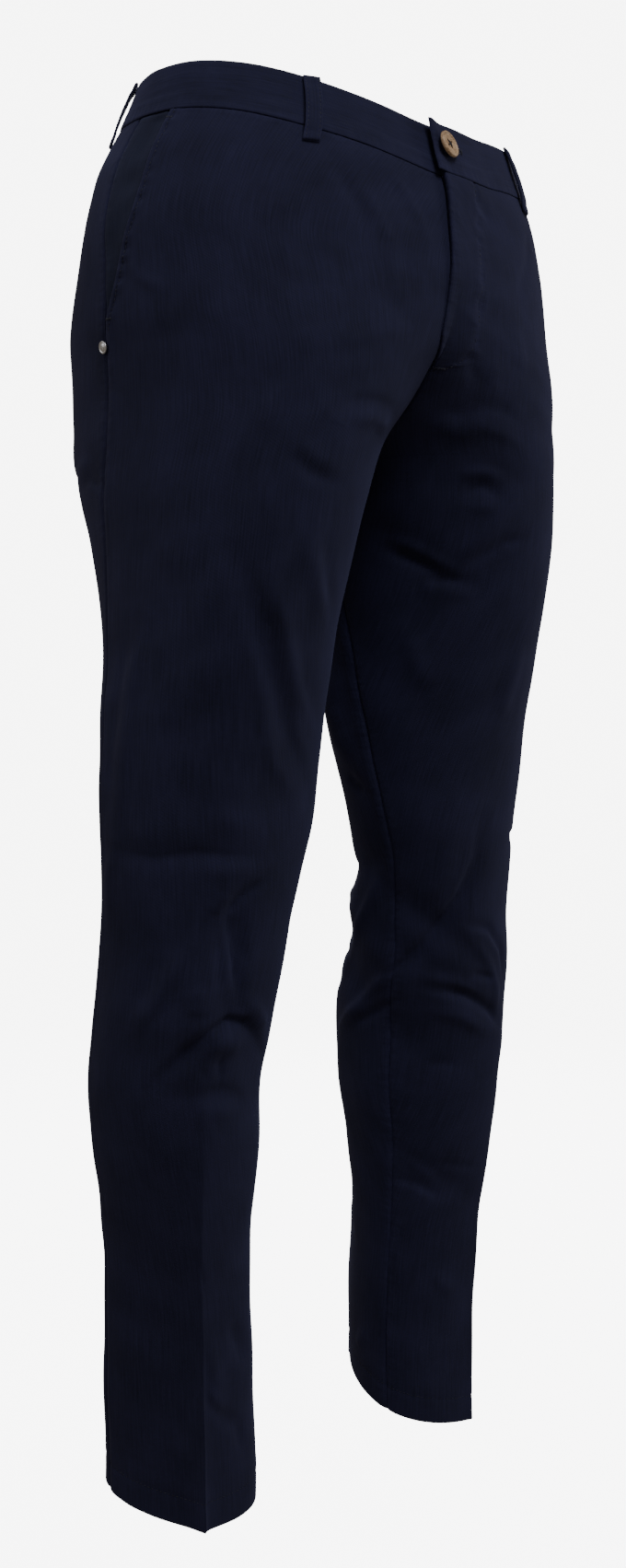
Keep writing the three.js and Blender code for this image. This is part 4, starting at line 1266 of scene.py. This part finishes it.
@dataclass
class Waistband:
    """Half of the waistband: a folded strip 35 mm wide from the front opening to the centre back."""

    side: Side
    wardrobe: Wardrobe
    stations: int = 210
    thickness: float = 3.0

    def section(self) -> Array:
        """The closed outline of the band's section: heights and offsets, from its outer foot round."""
        t = self.thickness
        foot, top = WAIST_SEAM, WAIST_TOP
        turn = [(foot - 0.9, -1.0), (foot - 0.85, -0.5), (foot - 0.4, -0.15), (foot + 0.6, -0.02)]
        face = [(foot + h, 0.0) for h in (2.2, 3.5, 5, 7, 9, 11, 13, 15, 17, 19, 21, 23, 25, 27, 29, 30.5, 32)]
        over = [(top - 1.7, -0.1), (top - 0.8, -0.4), (top - 0.2, -0.9), (top, -t / 2)]
        inner = [(top - 0.2, -t + 0.9), (top - 0.8, -t + 0.4), (top - 1.7, -t + 0.1), (top - 4, -t)]
        inner += [(foot + h, -t) for h in (26, 20, 14, 8, 4)]
        inner += [(foot + 1.5, -t + 0.1), (foot + 0.3, -t + 0.6), (foot - 0.5, -1.5)]
        return np.array([*turn, *face, *over, *inner, turn[0]])

    def build(self) -> bpy.types.Object:
        """Makes the band."""
        section = self.section()
        height = section[None, :, 0] + np.zeros((self.stations, 1))
        offset = section[None, :, 1] + WAISTBAND_PROUD + np.zeros((self.stations, 1))
        lap = WAISTBAND_LAP if self.side is Side.LEFT else 0.0
        front = FORM.edge_angle(height, np.full_like(height, HALF_SEAM_GAP), False)
        back = FORM.edge_angle(height, np.zeros_like(height), True)
        round_mm = (back - front) * 150.0
        length = float(round_mm.mean()) + lap
        share = np.linspace(0, 1, self.stations)
        share = (share + 0.06 * np.sin(2 * np.pi * share) / (2 * np.pi) * -1)[:, None] + 0 * height
        at = share * length - lap
        angle = front + (back - front) * np.clip(at, 0, None) / (length - lap)
        plain = FORM.point(Side.LEFT, height, angle)
        x = np.where(at < 0, at, np.abs(plain[..., 0]))
        is_front = plain[..., 1] < 0
        upper = ramp(WAIST_SEAM + 10, WAIST_TOP, height)
        if self.side is Side.LEFT:
            near = np.where(is_front, 1 - ramp(WAISTBAND_RAISE_FULL, WAISTBAND_RAISE_END, x), 0.0)
            offset = offset + WAISTBAND_RAISE * near
            offset += WAISTBAND_CORNER_LIFT * (0.35 + 0.65 * upper) * ramp(2, WAISTBAND_LAP, -x) * (at < 0)
        outer = section[None, :, 1] > -self.thickness / 2
        # The seam allowances inside the band press through as two faint level lines.
        level = height - WAIST_SEAM
        pressed = 0.35 * bell(level - 9.5, 1.6) - 0.3 * bell(level - 12.5, 1.6) + 0.25 * bell(level - 24, 2.2)
        drift = 0.6 + 0.4 * np.sin(at / 31 + 1.0)
        offset = offset + np.where(outer, pressed * drift, 0.0)
        offset += 0.5 * np.sin(at / 24 + 1.5 * np.sin(at / 57)) * ramp(2, 20, level) * ramp(20, 60, at)
        end_gap = np.minimum(share * length, (1 - share) * length)
        half = self.thickness / 2
        round_end = np.sqrt(np.clip(1 - np.square(np.clip(1 - end_gap / 1.2, 0, 1)), 0.0, 1.0))
        middle = offset - section[None, :, 1] - half
        offset = middle + (offset - middle) * (0.35 + 0.65 * round_end)
        points = FORM.cloth(self.side, height, angle, offset)
        lapped = at < 0
        if lapped.any():
            points[lapped] = FORM.front_at(x[lapped], height[lapped], offset[lapped])
        uv = np.stack((height * MM + 0.5, at * MM), axis=-1)
        gap = np.minimum(np.minimum(end_gap, np.abs(level)), 40.0)
        node = f"waistband_{self.side.word}"
        mesh = shaped_grid(node, points, uv, np.clip(gap, 0, 40))
        piece = link_piece(node + "_cloth", mesh, self.wardrobe.twill, (node,))
        return piece


@dataclass
class BeltLoop:
    """A belt loop: a stitched strip that bridges the waistband, seated at its foot and at its top."""

    name: str
    side: Side
    degrees: float
    wardrobe: Wardrobe
    stitches: "StitchRow"
    width: float = 12.5
    thickness: float = 1.8

    def path(self) -> Array:
        """Heights and stand-offs along the loop, from its foot up."""
        foot = WAIST_SEAM - 13
        knots = np.array((
            (foot, 0.4), (foot + 5, 1.0), (foot + 11, 2.8), (foot + 24, 3.4), (WAIST_TOP - 10, 2.8),
            (WAIST_TOP - 5, 1.5), (WAIST_TOP - 0.5, 1.2),
        ))
        reach = np.concatenate(([0.0], np.cumsum(np.hypot(*np.diff(knots, axis=0).T))))
        at = np.linspace(0, reach[-1], 49)
        smooth = np.stack([np.interp(at, reach, knots[:, i]) for i in range(2)], axis=1)
        for _ in range(3):
            smooth[1:-1] = (smooth[:-2] + 2 * smooth[1:-1] + smooth[2:]) / 4
        return smooth

    def build(self) -> bpy.types.Object:
        """Makes the strip and its stitches."""
        path = self.path()
        rows = len(path)
        half, t = self.width / 2, self.thickness
        across = np.array((-6.25, -6.1, -5.6, -5.0, -4.4, -3.8, -2.5, 0, 2.5, 3.8, 4.4, 5.0, 5.6, 6.1, 6.25))
        rim = np.sqrt(np.clip(1 - np.square(np.clip((np.abs(across) - half + 0.65) / 0.65, 0, 1)), 0, 1))
        face = t / 2 + t / 2 * rim - 0.3 * bell(np.abs(across) - 4.4, 0.5)
        under = t / 2 - t / 2 * rim
        loop_x = np.concatenate((across, across[::-1][1:-1], across[:1]))
        loop_up = np.concatenate((face, under[::-1][1:-1], face[:1]))
        height = path[:, :1] + 0 * loop_x[None, :]
        angle = np.full_like(height, math.radians(self.degrees))
        normal = FORM.normal(self.side, height, angle)
        centre = FORM.point(self.side, height, angle)
        # Both ends are folded under, which thickens them by a layer.
        near_end = np.minimum(np.arange(rows), np.arange(rows)[::-1])[:, None]
        fold = 0.5 * (1 - ramp(4, 7, near_end)) * (loop_up[None, :] > t / 2)
        end_round = np.where((near_end == 0) & (loop_up[None, :] > t / 2), -0.6, 0.0)
        lift = path[:, 1:] + loop_up[None, :] + fold + end_round
        waver = 0.35 * np.sin(path[:, :1] / 9 + self.degrees)
        aside = along_of(normal, self.side) * (loop_x[None, :] + waver)[..., None]
        points = centre + normal * lift[..., None] + aside
        uv = np.stack((loop_x[None, :] * MM + 0 * height * MM, height * MM), axis=-1)
        gap = half - np.abs(loop_x[None, :]) + 0 * height
        mesh = shaped_grid(self.name, points, uv, gap)
        piece = link_piece(self.name + "_cloth", mesh, self.wardrobe.twill, (self.name,))
        columns = {x: int(np.argmin(np.abs(across - x))) for x in (-4.4, 4.4)}
        for column in columns.values():
            self.stitches.run(points[2:-2, column], normal[2:-2, column])
        for row in (3, rows - 5):
            self.tack(points[row, :15], points[row + 1, :15], normal[row, 7])
        return piece

    def tack(self, line: Array, above: Array, normal: Array) -> None:
        """Sews a bartack across the loop, from one stitched edge to the other."""
        up = Vector(above[7] - line[7])
        for x in np.linspace(-4.6, 4.6, 13):
            share = (x + self.width / 2) / self.width
            at = Vector(line[0] + (line[-1] - line[0]) * share) + Vector(normal) * 0.9
            self.stitches.add(at, up, Vector(normal), 2.2)


@dataclass
class Fastening:
    """What closes the front: the button, its buttonhole, the zip and the shield behind it."""

    wardrobe: Wardrobe

    def strip(self, name: str, x: Array, height: Array, offset: Array, thickness: float) -> bpy.types.Mesh:
        """A thin strip behind the front, between two distances from the middle plane."""
        grid_h = height[:, None] + 0 * x[None, :]
        grid_x = x[None, :] + 0 * grid_h
        outer = FORM.front_at(grid_x, grid_h, offset)
        inner = FORM.front_at(grid_x[:, ::-1], grid_h, offset[:, ::-1] - thickness)
        points = np.concatenate((outer, inner, outer[:, :1]), axis=1)
        flat_x = np.concatenate((grid_x, grid_x[:, ::-1], grid_x[:, :1]), axis=1)
        flat_h = np.concatenate((grid_h, grid_h, grid_h[:, :1]), axis=1)
        uv = np.stack((flat_x * MM, flat_h * MM), axis=-1)
        edge = np.minimum(flat_x - x.min(), x.max() - flat_x)
        return shaped_grid(name, points, uv, edge)

    def build(self) -> None:
        """Makes the shield, the zip with its coil, the button with its thread, and the buttonhole."""
        x = np.linspace(*SHIELD_EDGES, 22)
        height = np.linspace(SHIELD_FOOT, WAIST_SEAM - 1, 70)
        depth = np.full((len(height), len(x)), -SHIELD_DEPTH)
        shield = self.strip("fly_shield", x, height, depth, SHIELD_THICKNESS)
        # The shield's darker twill is painted shade behind the fly.
        piece = link_piece("fly_shield_cloth", shield, self.wardrobe.shaded_twill, ("fly_shield",))
        x = np.linspace(*ZIP_EDGES, 9)
        height = np.linspace(ZIP_FOOT, WAIST_SEAM - 2, 60)
        depth = np.full((len(height), len(x)), -ZIP_DEPTH)
        tape = self.strip("zip", x, height, depth, ZIP_THICKNESS)
        piece = link_piece("zip_tape", tape, self.wardrobe.tape, ("zip",))
        coil = StitchRow("zip_coil", 3.2, 1.1)
        for at in np.arange(ZIP_FOOT + 4, WAIST_SEAM - 6, COIL_PITCH):
            spot = FORM.front_at(np.array(3.0), np.array(at), np.array(-0.2))
            coil.add(Vector(spot), Vector((1, 0, 0)), Vector((0, -1, 0)))
        coil.finish(self.wardrobe.thread)
        self.button()
        self.buttonhole()

    def seat(self, x: float, lift: float) -> tuple[Array, Array]:
        """A point of the left waistband's face at mid height, and its outward direction."""
        height, at = np.array(ORIGIN_HEIGHT), np.array(x)
        angle = FORM.edge_angle(height, np.abs(at), False)
        side = Side.RIGHT if x < 0 else Side.LEFT
        point = FORM.front_at(at, height, np.array(WAISTBAND_PROUD + WAISTBAND_RAISE + lift))
        return point, FORM.normal(side, height, angle)

    def button(self) -> None:
        """Makes the four-hole button, with a raised rim round a dished middle, and its thread."""
        profile = (
            (0, 0), (8.8, 0), (9.6, 0.25), (10, 0.8), (10, 2.0), (9.75, 2.6), (9.3, 2.95), (8.8, 3.0), (8.35, 2.85),
            (8.1, 2.45), (7.8, 2.2), (7.2, 2.2), (6.6, 2.42), (5.6, 2.4), (4.0, 2.15), (2.0, 1.95), (0, 1.9),
        )
        shell = turned_shell(profile, 64)
        point, normal = self.seat(BUTTON_X, BUTTON_CLEARANCE)
        # It hangs from its thread a little turned to the wearer's left.
        swing = Matrix.Rotation(math.radians(BUTTON_SWING), 3, "Z")
        place = stand_on(point, np.array(swing @ Vector(normal)))
        mesh = bpy.data.meshes.new("button_disc")
        shell.to_mesh(mesh)
        shell.free()
        mesh.transform(place)
        piece = link_piece("button_disc", mesh, self.wardrobe.coconut, ("button",))
        mesh.polygons.foreach_set("use_smooth", np.ones(len(mesh.polygons), bool))
        drill = bmesh.new()
        corners = [Vector((sx * 2.1, sy * 2.1, 1.5)) for sx, sy in ((1, 1), (-1, 1), (-1, -1), (1, -1))]
        for corner in corners:
            bmesh.ops.create_cone(
                drill, cap_ends=True, segments=20, radius1=1.1, radius2=1.25, depth=6,
                matrix=place @ Matrix.Translation(corner),
            )
        drill_mesh = bpy.data.meshes.new("button_drill")
        drill.to_mesh(drill_mesh)
        drill.free()
        tool = bpy.data.objects.new("button_drill", drill_mesh)
        bpy.context.scene.collection.objects.link(tool)
        cut = piece.modifiers.new("holes", "BOOLEAN")
        cut.operation = "DIFFERENCE"
        cut.solver = "EXACT"
        cut.object = tool
        graph = bpy.context.evaluated_depsgraph_get()
        holed = bpy.data.meshes.new_from_object(piece.evaluated_get(graph))
        piece.modifiers.clear()
        piece.data = holed
        bpy.data.objects.remove(tool)
        thread = StitchRow("button_thread", 6.6, 1.0)
        turn = place.to_3x3().normalized()
        for i, (first, last) in enumerate(((0, 2), (1, 3), (0, 2), (1, 3))):
            aside = turn @ Vector((0.35, 0.35, 0.0)) if i > 1 else Vector((0.0, 0.0, 0.0))
            middle = (corners[first] + corners[last]) / 2
            at = (place @ Vector((middle.x, middle.y, 2.05 + 0.25 * (i % 2)))) / MM + aside
            thread.add(at, turn @ (corners[last] - corners[first]), turn @ Vector((0, 0, 1)))
        shank = place @ Vector((0, 0, -1.4))
        thread.add(shank / MM, turn @ Vector((0, 0, 1)), turn @ Vector((1, 0, 0)), 4.0)
        thread.finish(self.wardrobe.button_thread)

    def buttonhole(self) -> None:
        """Sews the buttonhole: a slit with close stitches all round it, partly under the button."""
        stitches = StitchRow("buttonhole_stitches", 2.2, 0.7)
        start, end = -8.0, 13.0
        for x in np.arange(start, end, 0.75):
            point, normal = self.seat(float(x), STITCH_LIFT)
            for way in (-1, 1):
                at = Vector(point) + Vector((0, 0, way * 1.5))
                stitches.add(at, Vector((0, 0, 1)), Vector(normal))
        for turn in np.linspace(-60, 60, 6):
            point, normal = self.seat(end, STITCH_LIFT)
            away = Vector((math.cos(math.radians(turn)), 0, math.sin(math.radians(turn))))
            stitches.add(Vector(point) + away * 1.5, away, Vector(normal))
        stitches.finish(self.wardrobe.thread)


@dataclass
class Rivet:
    """A cast rivet at the foot of a pocket mouth: a turned rim, a groove and a low bare dome."""

    side: Side
    wardrobe: Wardrobe

    def build(self) -> bpy.types.Object:
        """Makes the rivet on the cloth."""
        profile = (
            (0, -0.4), (3.6, -0.4), (4.1, 0.0), (4.45, 0.35), (4.5, 0.7), (4.3, 1.05), (3.95, 1.2), (3.6, 1.12),
            (3.35, 0.9), (3.1, 0.86), (2.85, 1.02), (2.4, 1.3), (1.6, 1.5), (0.8, 1.58), (0, 1.6),
        )
        height = np.array(RIVET_HEIGHT)
        angle = FORM.side_seam(height) + math.radians(RIVET_BEHIND_SEAM)
        point = FORM.cloth(self.side, height, angle, np.array(0.6))
        mesh = bpy.data.meshes.new("rivet")
        shell = turned_shell(profile, 40)
        shell.to_mesh(mesh)
        shell.free()
        mesh.transform(stand_on(point, FORM.normal(self.side, height, angle)))
        mesh.polygons.foreach_set("use_smooth", np.ones(len(mesh.polygons), bool))
        node = f"rivet_{self.side.word}"
        return link_piece(node + "_cap", mesh, self.wardrobe.pewter, (node,))


@dataclass
class Topstitching:
    """The visible lines of stitches on the leg panels."""

    wardrobe: Wardrobe

    def on_panel(self, panel: "LegPanel", height: Array, steps: Array) -> tuple[Array, Array]:
        """Points just above a panel's face and their outward directions."""
        points, _, _ = panel.layer(height[:, None], steps[:, None], False)
        angle, _, _ = panel.stations(height[:, None], steps[:, None])
        normal = FORM.normal(panel.side, height[:, None], angle)
        return points[:, 0] + normal[:, 0] * STITCH_LIFT, normal[:, 0]

    def build(self, panels: dict[tuple[Side, bool], "LegPanel"]) -> None:
        """Sews the pocket mouths, the fly's curved line, its bartack and the hems."""
        for side in Side:
            panel = panels[side, False]
            row = StitchRow(f"pocket_stitches_{side.word}", 2.4, 0.62)
            height = np.linspace(POCKET_FOOT + 1, WAIST_SEAM - 2, 240)
            width = panel.width_of(height[:, None])[:, 0]
            row.run(*self.on_panel(panel, height, 1 - 5.0 / width))
            for at in (WAIST_SEAM - 8, POCKET_FOOT + 9):
                self.tack(row, panel, at, 2.0)
            row.finish(self.wardrobe.thread)
        panel = panels[Side.LEFT, False]
        row = StitchRow("fly_stitches", 2.6, 0.7)
        height = np.linspace(FLY_FOOT + 0.3, WAIST_SEAM - 2, 400)
        height = FLY_FOOT + (height - FLY_FOOT) ** 1.6 / (WAIST_SEAM - 2 - FLY_FOOT) ** 0.6
        row.run(*self.on_front(panel, height, fly_stitch_x(height)))
        for at in np.arange(1.0, 9.0, 0.8):
            spot, normal = self.on_front(panel, np.array([FLY_FOOT + 1.5]), np.array([at]))
            row.add(Vector(spot[0]), Vector((0, 0, 1)), Vector(normal[0]), 3.2)
        row.finish(self.wardrobe.thread)
        for side in Side:
            row = StitchRow(f"hem_stitches_{side.word}", 2.2, 0.5)
            for back in (False, True):
                panel = panels[side, back]
                steps = np.linspace(0.01, 0.99, 160)
                row.run(*self.on_panel(panel, np.full(160, HEM_STITCH), steps))
            row.finish(self.wardrobe.thread)

    def on_front(self, panel: "LegPanel", height: Array, x: Array) -> tuple[Array, Array]:
        """Points just above the left front at distances from the middle plane."""
        angle = FORM.edge_angle(height, x, False)
        start, end = panel.edges(height)
        lap = panel.lap(height)
        width = panel.width_of(height[:, None])[:, 0]
        lift = panel.relief(height, x, x + lap, width - x, angle)
        points = FORM.cloth(panel.side, height, angle, lift + STITCH_LIFT)
        return points, FORM.normal(panel.side, height, angle)

    def tack(self, row: StitchRow, panel: "LegPanel", height: float, start: float) -> None:
        """Sews a short bartack across a pocket mouth's edge."""
        width = float(panel.width_of(np.array([[height]]))[0, 0])
        for gap in np.arange(0.6, 6.4, 0.7):
            spot, normal = self.on_panel(panel, np.array([height]), np.array([1 - gap / width]))
            row.add(Vector(spot[0]), Vector((0, 0, 1)), Vector(normal[0]), start)


@dataclass
class Studio:
    """The floor, lights and camera of the photograph."""

    camera_place: tuple[float, float, float] = (-0.8866, -0.9098, -0.4565)
    camera_turn: float = -43.0
    focal_pixels: float = 1778.0
    picture: tuple[int, int] = (680, 1703)
    axis: tuple[float, float] = (320.0, 797.0)
    floor: float = -1.16
    daylight: float = 0.18
    room_radius: float = 9.0
    room_glow: float = 7.0
    tint: tuple[float, float, float] = (0.86, 0.88, 1.0)
    # Name, place, aim, side in metres and watts of each soft light.
    lamps: tuple[tuple[str, tuple[float, ...], tuple[float, ...], float, float], ...] = (
        ("key", (-0.55, -1.6, 1.5), (0.0, 0.0, -0.15), 1.0, 26.0),
        ("right", (1.9, -1.35, -0.1), (0.0, 0.0, -0.5), 0.8, 8.0),
        ("left", (-1.2, 0.6, 0.35), (-0.1, 0.0, -0.1), 0.8, 3.5),
        ("back", (1.5, 1.5, 0.5), (0.0, 0.0, -0.35), 1.2, 40.0),
    )

    def build(self) -> None:
        """Sets up the stage, the lights and the camera."""
        world = bpy.data.worlds.new("studio")
        bpy.context.scene.world = world
        world.use_nodes = True
        back = world.node_tree.nodes["Background"]
        back.inputs[0].default_value = linear("#fff3e4")
        back.inputs[1].default_value = self.daylight
        self.sweep()
        for lamp in self.lamps:
            self.light(*lamp)
        self.camera()

    def sweep(self) -> None:
        """Makes the white room: a dome on a flat floor, so bright that it lights nothing itself."""
        shell = bmesh.new()
        bmesh.ops.create_uvsphere(shell, u_segments=64, v_segments=32, radius=self.room_radius)
        for vert in shell.verts:
            vert.co.z = max(vert.co.z, self.floor)
        bmesh.ops.recalc_face_normals(shell, faces=shell.faces)
        bmesh.ops.reverse_faces(shell, faces=shell.faces)
        mesh = bpy.data.meshes.new("white_room")
        shell.to_mesh(mesh)
        shell.free()
        room = bpy.data.objects.new("white_room", mesh)
        bpy.context.scene.collection.objects.link(room)
        material = new_material("studio sweep, matt white paint")
        shader = add_node(
            material, "ShaderNodeBsdfPrincipled", None, Base_Color=linear("#ffffff"), Roughness=0.9,
        )
        shader.inputs["Emission Color"].default_value = linear("#ffffff")
        shader.inputs["Emission Strength"].default_value = self.room_glow
        add_node(material, "ShaderNodeOutputMaterial", None, Surface=shader.outputs[0])
        mesh.materials.append(material)
        room.visible_diffuse = False
        room.visible_glossy = False
        room.visible_shadow = False

    def light(
        self,
        name: str,
        place: tuple[float, float, float],
        aim: tuple[float, float, float],
        size: float,
        watts: float,
    ) -> None:
        """Adds a square soft light.

        Args:
            name: its name.
            place: where it stands, in metres.
            aim: the point that it faces.
            size: its side in metres.
            watts: its power.
        """
        data = bpy.data.lights.new(name, "AREA")
        data.shape = "SQUARE"
        data.size = size
        data.energy = watts
        data.color = self.tint
        lamp = bpy.data.objects.new(name, data)
        lamp.location = place
        lamp.rotation_euler = (Vector(aim) - Vector(place)).to_track_quat("-Z", "Y").to_euler()
        bpy.context.scene.collection.objects.link(lamp)

    def camera(self) -> None:
        """Puts the camera where the photograph was taken from."""
        data = bpy.data.cameras.new("camera")
        data.sensor_width = 36.0
        data.lens = self.focal_pixels * 36.0 / self.picture[1]
        data.shift_x = (self.picture[0] / 2 - self.axis[0]) / self.picture[1]
        data.shift_y = (self.axis[1] - self.picture[1] / 2) / self.picture[1]
        camera = bpy.data.objects.new("camera", data)
        camera.location = self.camera_place
        camera.rotation_euler = (math.radians(90), 0.0, math.radians(self.camera_turn))
        bpy.context.scene.collection.objects.link(camera)
        bpy.context.scene.camera = camera


def main() -> None:
    """Builds the trousers piece by piece, then the studio."""
    logging.basicConfig(level=logging.INFO, format="%(message)s")
    wardrobe = Wardrobe()
    panels = {(side, back): LegPanel(side, back, wardrobe) for side in Side for back in (False, True)}
    for panel in panels.values():
        panel.build()
    loop_stitches = StitchRow("belt_loop_stitches", 2.4, 0.6)
    for side in Side:
        PocketFacing(side, wardrobe).build()
        Waistband(side, wardrobe).build()
        Rivet(side, wardrobe).build()
        for place, degrees in LOOP_ANGLES.items():
            BeltLoop(f"belt_loop_{place}_{side.word}", side, degrees, wardrobe, loop_stitches).build()
    BeltLoop("belt_loop_back", Side.LEFT, 270.0, wardrobe, loop_stitches).build()
    loop_stitches.finish(wardrobe.thread)
    Fastening(wardrobe).build()
    Topstitching(wardrobe).build(panels)
    Studio().build()


if __name__ == "__main__":
    main()
